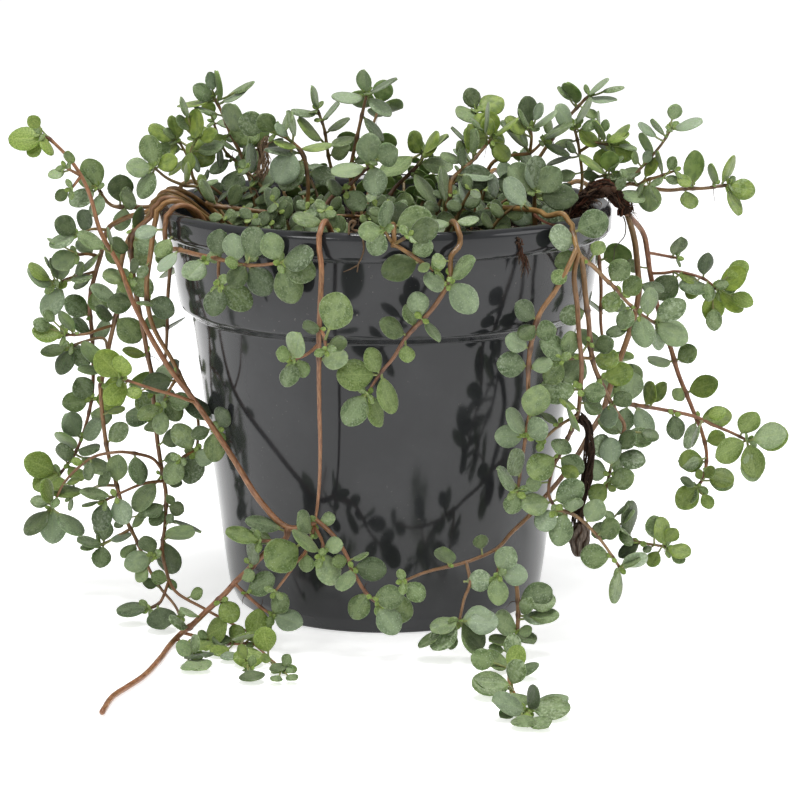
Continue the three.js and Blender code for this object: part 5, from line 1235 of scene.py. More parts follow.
def stem_material():
    """Stems ochre to reddish brown with pale streaks and dark joints, and leaf stalks pale green."""
    p = Paint("stem", Roughness=0.38, Specular_IOR_Level=0.5, Subsurface_Weight=0.05,
              Subsurface_Scale=0.0006)
    place = p.painted("spot")
    joint = p.parts(p.painted("blade"))[0]
    green, red, dark = p.parts(p.painted("tint"))[:3]
    streaks = p.ramp(p.noise(p.stretched(place, 1, 1, 0.3), 1.6, 3.0), 0.25, 0.75)
    blotch = p.noise(place, 0.16, 2.0)
    ochre = p.mix(streaks, srgb(108, 76, 38), srgb(152, 114, 66))
    rosy = p.mix(streaks, srgb(106, 64, 44), srgb(164, 116, 86))
    colour = p.mix(p.math("MULTIPLY", red, p.ramp(blotch, 0.3, 0.6, 0.6, 1.0)), ochre, rosy)
    colour = p.mix(green, colour, p.mix(streaks, srgb(106, 120, 62), srgb(142, 154, 96)))
    colour = p.mix(p.math("MULTIPLY", joint, 0.8), colour, srgb(52, 30, 20))
    colour = p.mix(dark, colour, srgb(38, 22, 14))
    p.set(p.shader, "Base Color", colour)
    p.bump(p.math("ADD", streaks, p.noise(place, 4.0, 2.0)), 0.00007, 0.5)
    return p.material


def root_material():
    """Bare roots, dark brown to reddish, with dry pale fibres."""
    p = Paint("root", Roughness=0.85, Specular_IOR_Level=0.25)
    place = p.painted("spot")
    streaks = p.ramp(p.noise(p.stretched(place, 1.5, 1.5, 0.5), 2.2, 5.0), 0.3, 0.7)
    pale, red, grey = p.parts(p.painted("tint"))[:3]
    colour = p.mix(streaks, srgb(26, 18, 13), srgb(78, 54, 38))
    colour = p.mix(red, colour, p.mix(streaks, srgb(84, 44, 30), srgb(132, 84, 58)))
    colour = p.mix(pale, colour, p.mix(streaks, srgb(124, 94, 66), srgb(186, 160, 128)))
    colour = p.mix(grey, colour, p.mix(streaks, srgb(76, 66, 58), srgb(152, 138, 126)))
    p.set(p.shader, "Base Color", colour)
    p.bump(streaks, 0.0003)
    return p.material


def pot_material():
    """Glossy black moulded plastic with faint rubs, and a little pale dust toward the lip."""
    p = Paint("pot", Specular_IOR_Level=0.44)
    place = p.object_place()
    haze = p.noise(place, 45.0, 5.0)
    rubs = p.noise(p.stretched(place, 1, 1, 6), 160.0, 4.0)
    height = p.parts(place)[2]
    colour = p.mix(p.ramp(haze, 0.35, 0.75), srgb(34, 35, 37), srgb(45, 46, 48))
    dust = p.math("MULTIPLY", p.ramp(p.noise(place, 1100.0, 2.0), 0.68, 0.74), p.ramp(haze, 0.5, 0.7))
    dust = p.math("MULTIPLY", dust, p.ramp(height, 0.07, 0.105, 0.35, 1.0))
    colour = p.mix(p.math("MULTIPLY", dust, 0.6), colour, srgb(150, 146, 138))
    p.set(p.shader, "Base Color", colour)
    rough = p.math("ADD", p.ramp(haze, 0.3, 0.7, 0.09, 0.14), p.ramp(rubs, 0.6, 0.78, 0.0, 0.08))
    p.set(p.shader, "Roughness", p.math("ADD", rough, p.math("MULTIPLY", dust, 0.4)))
    p.bump(p.math("ADD", p.noise(place, 60.0, 2.0), p.math("MULTIPLY", rubs, 0.03)), 0.00012, 0.14)
    return p.material


def soil_material():
    """Near-black fibrous potting mix."""
    p = Paint("soil", Roughness=0.95, Specular_IOR_Level=0.2)
    place = p.object_place()
    clods = p.noise(place, 420.0, 6.0)
    colour = p.mix(p.ramp(clods, 0.35, 0.7), srgb(14, 11, 9), srgb(54, 43, 33))
    colour = p.mix(p.ramp(p.noise(place, 1500.0, 2.0), 0.68, 0.76, 0.0, 0.7), colour, srgb(138, 118, 96))
    p.set(p.shader, "Base Color", colour)
    p.bump(clods, 0.0012)
    return p.material


def plain_material(name, low, high, scale, roughness):
    """A dry rough surface between two colours."""
    p = Paint(name, Roughness=roughness, Specular_IOR_Level=0.25)
    cloud = p.noise(p.object_place(), scale, 4.0)
    p.set(p.shader, "Base Color", p.mix(p.ramp(cloud, 0.3, 0.7), low, high))
    p.bump(cloud, 0.0003)
    return p.material


# The pot

def rounded(corners, steps=5):
    """A profile through corners of (radius, height, fillet), with each fillet as an arc."""
    found = []
    for k, (r, z, fillet) in enumerate(corners):
        here = np.array([r, z], float)
        if k in (0, len(corners) - 1) or fillet == 0:
            found.append(here)
            continue
        back = np.array(corners[k - 1][:2]) - here
        on = np.array(corners[k + 1][:2]) - here
        reach = min(fillet, np.linalg.norm(back) * 0.45, np.linalg.norm(on) * 0.45)
        start = here + unit(back) * reach
        finish = here + unit(on) * reach
        for i in range(steps + 1):
            u = i / steps
            found.append((1 - u) ** 2 * start + 2 * u * (1 - u) * here + u ** 2 * finish)
    return found


def lathe(profile, sides):
    """Points and faces of a closed turned body; a point on the axis is a single vertex."""
    points = []
    rings = []
    for r, z in profile:
        if r < 1e-6:
            rings.append([len(points)] * sides)
            points.append((0, 0, z))
            continue
        rings.append([len(points) + j for j in range(sides)])
        turns = np.arange(sides) * 2 * math.pi / sides
        points += np.column_stack([r * np.cos(turns), r * np.sin(turns), np.full(sides, z)]).tolist()
    faces = []
    for low, high in zip(rings, rings[1:]):
        for j in range(sides):
            k = (j + 1) % sides
            face = [low[j], low[k], high[k], high[j]]
            faces.append(tuple(dict.fromkeys(face)))
    return np.array(points), faces


# The angle over which an edge shows as one, and the angle at which none does
SHARP_ANGLE = 40
SMOOTH_ANGLE = 180


def make_mesh_object(name, points, faces, material, sharp=SHARP_ANGLE):
    """A smooth object of one material, with its edges over the sharp angle kept."""
    mesh = bpy.data.meshes.new(name)
    mesh.from_pydata((np.asarray(points) * MM).tolist(), [], faces)
    mesh.materials.append(material)
    mesh.polygons.foreach_set("use_smooth", [True] * len(faces))
    mesh.set_sharp_from_angle(angle=math.radians(sharp))
    return placed(name, mesh)


def pot_profile():
    """The pot's section from the middle of its underside, up the outside and down the inside."""
    lip_z = POT_HEIGHT - LIP_DROP
    return rounded([
        (0, 0.6, 0),
        (BASE_RADIUS - 3, 0.6, 0.5),
        (BASE_RADIUS - 2, 0, 0.5),
        (BASE_RADIUS, 0, 0.8),
        (FOOT_RADIUS, FOOT_LINE_Z, 0.5),
        (BODY_LOW_RADIUS, BODY_LOW_Z, 1.5),
        (BODY_TOP_RADIUS, COLLAR_FOOT_Z - 0.4, 0.5),
        (BODY_TOP_RADIUS + 2.9, COLLAR_FOOT_Z + 1.6, 0.9),
        (COLLAR_RADIUS - 1.3, COLLAR_FOOT_Z + 7.5, 2.4),
        (COLLAR_RADIUS, lip_z - 0.3, 0.2),
        (RIM_RADIUS - 0.8, lip_z, 0.4),
        (RIM_RADIUS, lip_z + 1.2, 0.9),
        (RIM_RADIUS, POT_HEIGHT - 1.2, 0.9),
        (RIM_RADIUS - 1, POT_HEIGHT, 0.6),
        (RIM_RADIUS - 2.6, POT_HEIGHT, 0.6),
        (COLLAR_RADIUS - WALL, POT_HEIGHT - 2, 0.8),
        (COLLAR_RADIUS - 1.3 - WALL, COLLAR_FOOT_Z + 7.5, 1),
        (BODY_TOP_RADIUS - WALL, COLLAR_FOOT_Z - 1, 1),
        (BODY_LOW_RADIUS - WALL, BODY_LOW_Z, 1),
        (BASE_RADIUS - WALL, FLOOR, 0.8),
        (0, FLOOR, 0),
    ])


def drain_cutters():
    """The round bars that the drain holes are cut with."""
    cutters = bmesh.new()
    for k in range(DRAIN_HOLES):
        angle = (k + 0.5) / DRAIN_HOLES * 2 * math.pi
        hole = bmesh.ops.create_cone(cutters, cap_ends=True, segments=28, radius1=DRAIN_RADIUS * MM,
                                     radius2=DRAIN_RADIUS * MM, depth=4 * FLOOR * MM)
        shift = Vector((DRAIN_RING * math.cos(angle), DRAIN_RING * math.sin(angle), 0)) * MM
        bmesh.ops.translate(cutters, vec=shift, verts=hole["verts"])
    cutter_mesh = bpy.data.meshes.new("drain_cutters")
    cutters.to_mesh(cutter_mesh)
    cutters.free()
    return placed("drain_cutters", cutter_mesh)


def make_pot():
    pot = make_mesh_object("moulded_pot", *lathe(pot_profile(), POT_SIDES), pot_material())
    cutter = drain_cutters()
    cut = pot.modifiers.new("drain", "BOOLEAN")
    cut.object = cutter
    cut.solver = "EXACT"
    bpy.context.view_layer.update()
    drained = bpy.data.meshes.new_from_object(pot.evaluated_get(bpy.context.evaluated_depsgraph_get()))
    pot.modifiers.clear()
    pot.data = drained
    drained.set_sharp_from_angle(angle=math.radians(SHARP_ANGLE))
    bpy.data.objects.remove(cutter)
    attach(pot, "root")
    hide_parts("pot")


# The potting mix

# The clods, in layers: how fine, where in the noise and how high
CLODS = [(0.28, 3, 1.1), (0.8, 9, 0.7), (2.1, 1, 0.35)]
SOIL_RINGS = 64


def soil_surface(x, y):
    """The mix's height with its clods, over the broad mound of the part's source."""
    height = soil_height(x, y)
    for fine, layer, high in CLODS:
        height += noise.noise(Vector((x * fine, y * fine, layer))) * high
    return height


def make_soil():
    """The potting mix from the pot's floor to its uneven top."""
    wall = WALL + SOIL_CLEAR
    side = [
        (0, FLOOR + 0.4),
        (BASE_RADIUS - wall - 1, FLOOR + 0.4),
        (BODY_LOW_RADIUS - wall, BODY_LOW_Z + 0.2),
        (BODY_TOP_RADIUS - wall, COLLAR_FOOT_Z - 1),
        (COLLAR_RADIUS - 1.3 - wall, COLLAR_FOOT_Z + 7.7),
        (COLLAR_RADIUS - 0.9 - wall, SOIL_TOP - 2),
    ]
    outer = COLLAR_RADIUS - 0.8 - wall
    top = [(outer * (1 - i / SOIL_RINGS), SOIL_TOP) for i in range(SOIL_RINGS + 1)]
    points, faces = lathe([*side, *top], SOIL_SIDES)
    for point in points:
        if point[2] == SOIL_TOP:
            point[2] = soil_surface(point[0], point[1])
    soil = make_mesh_object("potting_mix", points, faces, soil_material(), SMOOTH_ANGLE)
    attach(soil, "root")
    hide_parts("soil")


# The twenty-sided solid that each crumb is pressed out of
GOLDEN = (1 + math.sqrt(5)) / 2
ICOSA_POINTS = np.array([(-1, GOLDEN, 0), (1, GOLDEN, 0), (-1, -GOLDEN, 0), (1, -GOLDEN, 0),
                         (0, -1, GOLDEN), (0, 1, GOLDEN), (0, -1, -GOLDEN), (0, 1, -GOLDEN),
                         (GOLDEN, 0, -1), (GOLDEN, 0, 1), (-GOLDEN, 0, -1), (-GOLDEN, 0, 1)])
ICOSA_POINTS /= np.linalg.norm(ICOSA_POINTS[0])
ICOSA_FACES = [(0, 11, 5), (0, 5, 1), (0, 1, 7), (0, 7, 10), (0, 10, 11),
               (1, 5, 9), (5, 11, 4), (11, 10, 2), (10, 7, 6), (7, 1, 8),
               (3, 9, 4), (3, 4, 2), (3, 2, 6), (3, 6, 8), (3, 8, 9),
               (4, 9, 5), (2, 4, 11), (6, 2, 10), (8, 6, 7), (9, 8, 1)]


def crumb(pieces, centre, size, draw, kind):
    """An uneven lump: twelve corners pushed in and out, and squeezed along one side."""
    stretch = np.array([0.6 + 0.8 * draw(), 0.6 + 0.8 * draw(), 0.5 + 0.5 * draw()])
    bumps = np.array([0.7 + 0.5 * draw() for _ in range(12)])
    turn = draw() * 2 * math.pi
    points = ICOSA_POINTS * bumps[:, None] * stretch * size / 2
    spin = np.array([[math.cos(turn), math.sin(turn), 0], [-math.sin(turn), math.cos(turn), 0], [0, 0, 1]])
    pieces.add(points @ spin + centre, ICOSA_FACES, kind, (0, 0, draw() * 50), (0, 0, 0), (0, 0, 0))


# How many of the crumbs are pale, and the parts of a shred of fibre
PALE_CHANCE = 0.035
FIBRE_STEPS = 6


def place_on_mix(reach, draw):
    """A drawn place within this reach of the pot's axis, and the direction that it lies in."""
    angle = draw() * 2 * math.pi
    r = reach * math.sqrt(draw())
    return r * math.cos(angle), r * math.sin(angle), angle


def shred_line(reach, draw):
    """A shred of fibre that lies on the mix and turns back at its edge."""
    x, y, _ = place_on_mix(reach - 3, draw)
    heading = draw() * 2 * math.pi
    curl = (draw() - 0.5) * 0.5
    step = (3 + 8 * draw()) / FIBRE_STEPS
    line = []
    for i in range(FIBRE_STEPS + 1):
        arch = 1.1 * math.sin(math.pi * i / FIBRE_STEPS) * draw()
        line.append((x, y, soil_surface(x, y) + 0.5 + arch))
        if math.hypot(x, y) > reach - 2:
            heading += 1.2
        x += step * math.cos(heading)
        y += step * math.sin(heading)
        heading += curl
    return line


def make_crumbs():
    """Loose crumbs, shreds of fibre and a few pale grains on the mix."""
    draw = draws_from(CRUMB_SEED)
    pale = plain_material("pale_grit", srgb(120, 108, 92), srgb(196, 186, 170), 900.0, 0.9)
    bark = plain_material("bark_shreds", srgb(34, 24, 18), srgb(84, 62, 44), 500.0, 0.9)
    pieces = Pieces("soil_crumbs", [soil_material(), pale, bark])
    reach = COLLAR_RADIUS - 6
    for _ in range(CRUMBS):
        x, y, _ = place_on_mix(reach, draw)
        size = 0.7 + 2.0 * draw() ** 2.5
        kind = GRIT if draw() < PALE_CHANCE else MIX
        if kind == GRIT:
            size *= 0.6
        crumb(pieces, np.array([x, y, soil_surface(x, y) + size * 0.12]), size, draw, kind)
    for _ in range(FIBRES):
        line = shred_line(reach, draw)
        tube(pieces, line, 0.12 + 0.16 * draw(), 5, BARK, (0, 0, 0), shift=draw() * 20)
    pieces.make("soil")


# The plant

# Where leaves differ from the rest, as it is seen: across, up, reach, then how young, warm and dark. Warm is
# the leaves' own olive and, for the leaves at the top, a painted glow of light through them; dark is painted
# shade
TINTS = [
    (-95, 123, 8, 0.85, 0, 0), (-90, 126, 5, 0.8, 0, 0), (-71, 59, 8, 0.9, 0, 0),
    (-91.5, 71.5, 4, 0.7, 0, 0), (-94.8, 34, 7, 0.7, 0, 0), (-86, 31, 4, 0.6, 0, 0),
    (37.4, 7.3, 3, 0.7, 0, 0), (27.5, 127.1, 5, 0.6, 0, 0), (-52, 124, 10, 0.2, 0.75, 0),
    (-18.7, 124, 6, 0.3, 0.5, 0), (0, 60, 12, 0.4, 0.1, 0), (10, 113, 9, 0.25, 0, 0),
    (28, 126, 7, 0.2, 0.75, 0), (12, 122, 5, 0.1, 0.7, 0), (57, 122, 8, 0.1, 0.7, 0),
    (71, 116, 5, 0.1, 0.7, 0), (94, 81, 9, 0.8, 0.5, 0), (88, 50, 8, 0.5, 0.5, 0),
    (84, 31, 8, 0.45, 0.4, 0), (76, 13, 9, 0.45, 0.5, 0), (-38, -16, 13, 0.6, 0.1, 0),
    (-17, -2, 7, 0.5, 0.1, 0), (84, 113, 12, 0.3, 0.5, 0), (-29, -23, 5, 0, 0, 0.3), (61, 63, 4, 0, 0.6, 0),
    (72.5, 55.3, 4, 0, 0.7, 0), (59.5, 28, 4, 0, 0.5, 0), (48.5, 113.2, 3, 0.9, 0.4, 0),
    (101, 42, 9, 0.5, 0.2, 0),
]

# How young, warm and dark a small leaf is. Dark is painted shade. Less than nothing of dark is more silver,
# partly the leaf's own tone and partly painted light. Backlit is a painted glow of light through the leaf
LOOKS = {
    "plain": (0.1, 0.1, 0),
    "silver": (0, 0, -0.35),
    "dark": (0.05, 0.15, 0.4),
    "pale": (0.3, 0, -0.4),
    "fresh": (0.75, 0.1, 0),
    "olive": (0.2, 0.65, 0.15),
    "backlit": (0.3, 0.8, 0),
}


def leaf_tint(leaf, draw):
    """How young, warm and dark a leaf is: the smallest are fresher, and a few differ by where they grow. Dark
    is a random tone and, where given, painted shade; leaves that face up above the mix are paler, as painted
    light from above.
    """
    across, up = seen_from_front(leaf.base + leaf.ahead * leaf.long / 2)
    young = 0.02 + 0.08 * draw() + 0.3 * max(0, 6.2 - leaf.long) / 2.5
    warm = 0.35 * draw() ** 2
    tone = draw()
    dark = 0.65 * max(0, 0.45 - tone) / 0.45 - 0.6 * max(0, tone - 0.55) / 0.45
    if leaf.look:
        return leaf.look
    for near_across, near_up, reach, *tint in TINTS:
        if math.hypot(across - near_across, up - near_up) < reach:
            young, warm = max(young, tint[0]), max(warm, tint[1])
            dark = max(min(dark, 0.15), tint[2])
    # Painted light: leaves that face up above the mix are made paler, as if lit from above
    if leaf.face[2] > 0.6 and leaf.base[2] > SOIL_TOP:
        dark -= 0.25
    return young, warm, dark


# Stems whose colour differs from the rest: how green, red and dark
STEM_TINTS = {
    "stem_left_long": (0, 0.75, 0),
    "stem_front_long": (0, 0.75, 0),
    "stem_front_low": (0, 0.8, 0.1),
    "stem_collar": (0, 0.5, 0.15),
    "stem_bare": (0, 0.9, 0),
    "stem_right_b": (0, 1, 0),
    "stem_right_c": (0, 0.9, 0.2),
    "stem_left_a": (0, 0.05, 0),
    "stem_left_b": (0, 0.5, 0.3),
    "stem_top_a": (0.1, 0.2, 0),
    "stem_top_g": (0, 0.6, 0.5),
    "stem_top_i": (0, 0.5, 0.5),
}


# A stem's joints, and the width under which it is slim
JOINT_REACH = 0.8
JOINT_SWELL = 0.3
SLIM_WIDTH = 1.25


def stem_tube(pieces, bar, name, draw, number):
    """A stem with swollen dark joints where its leaves grow: ochre in the pot, redder below the rim."""
    places = np.array(bar.places)
    line = bar.line
    if bar.sunk is not None:
        line = np.vstack([bar.sunk, line])
        places = np.concatenate([[0], places])
    widths = np.array([bar.width_at(t) for t in places])
    run = np.concatenate([[0], np.cumsum(np.linalg.norm(np.diff(line, axis=0), axis=1))])
    swell = np.zeros(len(run))
    for place, _ in bar.feet:
        joint = float(np.interp(place, bar.places, run[-len(bar.places):]))
        swell = np.maximum(swell, np.exp(-((run - joint) / JOINT_REACH) ** 2))
    slim = bar.wide < SLIM_WIDTH
    radii = widths / 2 * ((0.8 if slim else 0.86) + JOINT_SWELL * swell)
    given = STEM_TINTS.get(name)
    tint = np.zeros((len(line), 3))
    if given:
        tint[:] = given
    else:
        tint[:, 0] = 0.1 * draw() + (0.25 * draw() if slim else 0)
        tint[:, 1] = np.clip((POT_HEIGHT - 4 - line[:, 2]) / 22, 0, 1) * (0.6 + 0.4 * draw())
        tint[:, 2] = 0.35 * draw() ** 2
    tube(pieces, line, radii, 8 if slim else 12, STEM, tint, swell * 0.8, number, rough=0.04)


# Loose roots, read as across and up
TAN_ROOTLET = [(-9.6, 100.4), (-7.8, 101.4), (-8.8, 99.6), (-6.5, 98.5), (-5.7, 94.6), (-6.3, 91.9),
               (-7.1, 90.2), (-7.5, 88)]
TAN_BRANCH = [(-7.2, 89.9), (-9.4, 88.7), (-11.1, 88)]
LIP_ROOT = [(39.6, 103.4), (42, 101.6), (44.6, 100.6), (47.4, 100.6)]
SMEAR = [(35.6, 97.7), (35.9, 95.5), (36.7, 92.8), (37.5, 89.9)]
LONG_HAIR = [(63.3, 102.8), (63.9, 100.5), (63.7, 97.9), (62.8, 96.5), (61.1, 94.5), (61, 92.8),
             (60.6, 90.7), (58.9, 88.8)]
ROOT_TUFT = [(-31.4, 123), (-32.5, 121), (-32, 118), (-32.6, 115), (-33.9, 112.6)]
TUFT_LEAN = 4
TUFT_STRANDS = 44
HAIR_WIDTH = 0.2

# The clump over the right rim: how many of each it has, and how far they spread
CLUMP_STRANDS = 110
CLUMP_SPREAD = 1.75
CLUMP_CRUMBS = 420
CLUMP_CRUMB_SPREAD = 2.9
HANGING_CRUMBS = 230
CLUMP_HAIRS = 320
CLUMP_HAIR_SPREAD = 2.6
CLOD_PLACE = (59.6, 111.3)

# The hanging root with its lump of bark: how many strands and hairs, and the lump's sizes
PLUG_STRANDS = 30
PLUG_HAIRS = 40
LUMP_HIGH = 8.6
LUMP_RADIUS = 2.75
LUMP_SIDES = 48
LUMP_ROWS = 24

# Root colours: how pale, red and grey
DARK_ROOT = (0, 0, 0)
RED_ROOT = (0, 0.8, 0)
TAN_ROOT = (0.55, 0.2, 0)
PALE_ROOT = (0.9, 0, 0)
GREY_ROOT = (0, 0, 0.9)

# How many hairs and crumbs the smear has, and how few points a strand may have
SMEAR_HAIRS = 46
SMEAR_CRUMBS = 12
SHORTEST_STRAND = 4


def fibre(pieces, start, way, long, droop, radius, tint, draw):
    """A thin curling rootlet."""
    steps = np.linspace(0, 1, 8)[:, None]
    side = unit(np.cross(way, np.array([0.3, 0.5, 0.8])))
    curl = long * 0.16 * (draw() - 0.5) * np.sin(steps * (3 + 4 * draw()) + 6 * draw())
    curl = curl - curl[0]
    line = start + way * long * steps + side * curl * 2 - UP * droop * long * steps ** 2
    line[:, 2] = np.maximum(line[:, 2], LOWEST_FIBRE)
    radii = np.linspace(radius, radius * 0.4, len(line))
    tube(pieces, line, radii, 4, ROOT, tint, shift=draw() * 9)


def hair(pieces, points, radius, tint):
    """A loose root through the points."""
    at, last = smooth_route([np.asarray(point, float) for point in points])
    line = [at(t) for t in np.linspace(0, last, 5 * last)]
    tube(pieces, line, np.linspace(radius, radius * 0.5, len(line)), 6, ROOT, tint, rough=0.1)


def on_pot(spot, clear):
    """The point of the pot's front that is seen at a place."""
    across, up = spot
    y = -RIM_RADIUS
    for _ in range(6):
        near = (EYE_AWAY + y) / EYE_AWAY
        x = across * near
        z = EYE_UP + (up - EYE_UP) * near
        reach = pot_radius(z) + clear
        y = -math.sqrt(max(reach ** 2 - x ** 2, 0))
    return np.array([x, y, z])


def pot_rootlets(pieces, draw):
    """Loose roots on the pot's lip: a tan one with a branch, and a reddish hairy smear beside the clump."""
    foot = np.array([-8.5, -RIM_RADIUS + 9, SOIL_TOP])
    hair(pieces, [foot, *(on_pot(spot, 0.5) for spot in TAN_ROOTLET)], 0.34, TAN_ROOT)
    hair(pieces, [on_pot(spot, 0.5) for spot in TAN_BRANCH], 0.22, TAN_ROOT)
    hair(pieces, [on_pot(spot, 0.5) for spot in LIP_ROOT], 0.4, RED_ROOT)
    at, last = smooth_route([on_pot(spot, 0.35) for spot in SMEAR])
    for _ in range(SMEAR_HAIRS):
        start = at(last * draw()) + np.array([1.6 * (draw() - 0.5), -0.2 * draw(), 0])
        way = unit(np.array([0.7 * (draw() - 0.5), -0.05, -1]))
        tint = (RED_ROOT, RED_ROOT, DARK_ROOT, TAN_ROOT)[int(draw() * 4)]
        fibre(pieces, start, way, 1.5 + 2.5 * draw(), 0, 0.09 + 0.07 * draw(), tint, draw)
    for _ in range(SMEAR_CRUMBS):
        centre = at(last * draw()) + np.array([1.2 * (draw() - 0.5), -0.2, 0])
        crumb(pieces, centre, 0.5 + 0.7 * draw(), draw, ROOT)


def strands(pieces, line, count, spread, thick, draw, colours):
    """Roots that wander beside each other along a line, each its own strand."""
    ways = np.gradient(line, axis=0)
    ways /= np.linalg.norm(ways, axis=1)[:, None]
    side = np.cross(ways, np.array([0.3, 1.0, 0.2]))
    side /= np.linalg.norm(side, axis=1)[:, None]
    over = np.cross(ways, side)
    run = np.linspace(0, 1, len(line))
    for k in range(count):
        out = spread * math.sqrt(draw())
        turns = 2 * math.pi * draw() + run * 3 * (draw() - 0.5)
        turns = turns + 0.7 * np.sin(run * (5 + 9 * draw()) + 6 * draw())
        out = out * (1 + 0.35 * np.sin(run * (7 + 8 * draw()) + 6 * draw()))
        offset = side * (out * np.cos(turns))[:, None] + over * (out * np.sin(turns))[:, None]
        first = int(draw() * 0.45 * len(line)) if k % 3 else 0
        last = len(line) - (int(draw() * 0.4 * len(line)) if k % 2 else 0)
        if last - first < SHORTEST_STRAND:
            continue
        tint = colours[int(draw() * len(colours))]
        radius = thick * (0.4 + 0.9 * draw())
        tube(pieces, (line + offset)[first:last], radius, 6, ROOT, tint, shift=k, rough=0.2)


def nearest_on(line, across, up):
    """The point of a line that is seen nearest to this place."""
    seen_line = np.array([seen_from_front(point) for point in line])
    return line[int(np.argmin(np.hypot(seen_line[:, 0] - across, seen_line[:, 1] - up)))]


def root_clump(pieces, bar, draw):
    """The clump of bared roots that hangs over the rim, with soil in it and its loose ends frayed."""
    line = np.vstack([bar.sunk, bar.line])
    colours = [DARK_ROOT, DARK_ROOT, RED_ROOT, DARK_ROOT, TAN_ROOT, DARK_ROOT, RED_ROOT]
    strands(pieces, line, CLUMP_STRANDS, CLUMP_SPREAD, 0.24, draw, colours)
    for _ in range(CLUMP_CRUMBS):
        centre = line[int(draw() * len(line))] + CLUMP_CRUMB_SPREAD * spray(draw)
        crumb(pieces, centre, 0.4 + 1.1 * draw(), draw, ROOT)
    for _ in range(HANGING_CRUMBS):
        over = line[int((0.35 + 0.35 * draw()) * len(line))]
        centre = over + np.array([0, 3.4 * (draw() - 0.5), -0.9 - 1.3 * draw()]) + 0.7 * spray(draw)
        crumb(pieces, centre, 0.5 + 1.1 * draw(), draw, ROOT)
    for _ in range(CLUMP_HAIRS):
        start = line[int(draw() * len(line))] + CLUMP_HAIR_SPREAD * spray(draw)
        way = unit(spray(draw) + np.array([0.3, 0, -0.1]))
        tint = (PALE_ROOT, TAN_ROOT, RED_ROOT, TAN_ROOT, DARK_ROOT)[int(draw() * 5)]
        fibre(pieces, start, way, 1.5 + 3 * draw(), 0.25, 0.07 + 0.08 * draw(), tint, draw)
    clod = nearest_on(line, *CLOD_PLACE) + np.array([0, -1.2, 0])
    for size, aside in ((3.6, -0.9), (3.2, 1.0), (2.4, 2.0)):
        crumb(pieces, clod + np.array([aside, 0, 0.3 * draw()]), size, draw, ROOT)
    depth = nearest_on(line, *LONG_HAIR[0])[1]
    hair(pieces, [seen((*spot, depth), HAIR_WIDTH) for spot in LONG_HAIR], HAIR_WIDTH, GREY_ROOT)


def bark_lump(pieces, low, high):
    """An upright lump between two points, with deep grooves that grow grey toward their ridges."""
    turns = np.arange(LUMP_SIDES) * 2 * math.pi / LUMP_SIDES
    points = []
    spots = []
    tints = []
    for i in range(LUMP_ROWS):
        s = i / (LUMP_ROWS - 1)
        centre = low + (high - low) * s
        radius = LUMP_RADIUS * math.sin(math.pi * (0.06 + 0.88 * s)) ** 0.5 * (0.84 + 0.22 * s)
        groove = np.abs(np.sin(turns * 3.5 + 0.9 * math.sin(s * 5) + 0.5 * np.sin(turns * 2 + s * 9)))
        places = [Vector((math.cos(a) * 1.6, math.sin(a) * 1.6, s * 5)) for a in turns]
        lumps = np.array([noise.noise(place) for place in places])
        ring = radius * (0.8 + 0.24 * groove ** 0.6 + 0.14 * lumps)
        level = np.zeros(LUMP_SIDES)
        points.append(centre + np.column_stack([ring * np.cos(turns), ring * np.sin(turns), level]))
        spots.append(np.column_stack([3 * np.cos(turns), 3 * np.sin(turns), level + s * 4]))
        tints.append(np.outer(np.clip((groove - 0.25) * 2.2, 0, 0.9), GREY_ROOT))
    faces = closed_faces(LUMP_ROWS, LUMP_SIDES)
    pieces.add(np.vstack(points), faces, ROOT, np.vstack(spots), (0, 0, 0), np.vstack(tints))


def bark_plug(pieces, bar, draw):
    """A hanging root: dark strands above, and below them a lump of bark."""
    line = bar.line
    strands(pieces, line[:-6], PLUG_STRANDS, 1.15, 0.3, draw, [DARK_ROOT])
    low = line[-1] + np.array([0, 0, -0.4])
    bark_lump(pieces, low, low + np.array([0.3, 0, LUMP_HIGH]))
    for k in range(PLUG_HAIRS):
        tint = PALE_ROOT if k % 4 == 0 else DARK_ROOT
        start = line[int(draw() * (len(line) - 8))] + 1.2 * spray(draw)
        fibre(pieces, start, unit(spray(draw)), 1.5 + 2 * draw(), 0.2, 0.08, tint, draw)


# Buds: the sizes of those at a growing point, and how often one or a rootlet grows beside a leaf
END_BUDS = (3.0, 1.8)
SIDE_BUD_CHANCE = 0.28
ROOTLET_CHANCE = 0.12


def dress_leaf(pieces, leaf, tint, draw, number):
    """A blade of this colour, on a petiole of its own green."""
    leaf.tint = tint
    blade_mesh(pieces, leaf, draw, number)
    leaf.tint = (0.7 + 0.3 * draw(), 0.5, 0)
    petiole_mesh(pieces, leaf, number)


def shoot_buds(bar, draw):
    """The buds in the angles of some of a bar's leaves."""
    buds = []
    for place, leaf in bar.feet:
        if draw() < SIDE_BUD_CHANCE:
            way = unit(leaf.ahead + leaf.face + 0.6 * spray(draw))
            centre = bar.point(place) + way * bar.wide * 0.4
            buds += bud_leaves(centre, way, (1.1 + 1.1 * draw(),), draw)
    return buds


def make_bar(pieces, bar, name, growing, draw, number):
    """A stem or shoot with its growing point, its buds and, here and there, a rootlet at a joint."""
    stem_tube(pieces, bar, name, draw, number)
    buds = []
    if growing:
        buds += bud_leaves(bar.line[-1], unit(bar.line[-1] - bar.line[-3]), END_BUDS, draw)
    buds += shoot_buds(bar, draw)
    for i, bud in enumerate(buds):
        young = 0.2 + 0.15 * draw() + 0.4 * (bud.long < 2.6)
        dress_leaf(pieces, bud, (young, 0.2 * draw(), 0), draw, 900 + 10 * number + i)
    for place, leaf in bar.feet:
        if draw() < ROOTLET_CHANCE:
            way = unit(spray(draw) - leaf.ahead)
            fibre(pieces, bar.point(place), way, 2 + 3 * draw(), 0.3, 0.11, (0, 0.4, 0), draw)


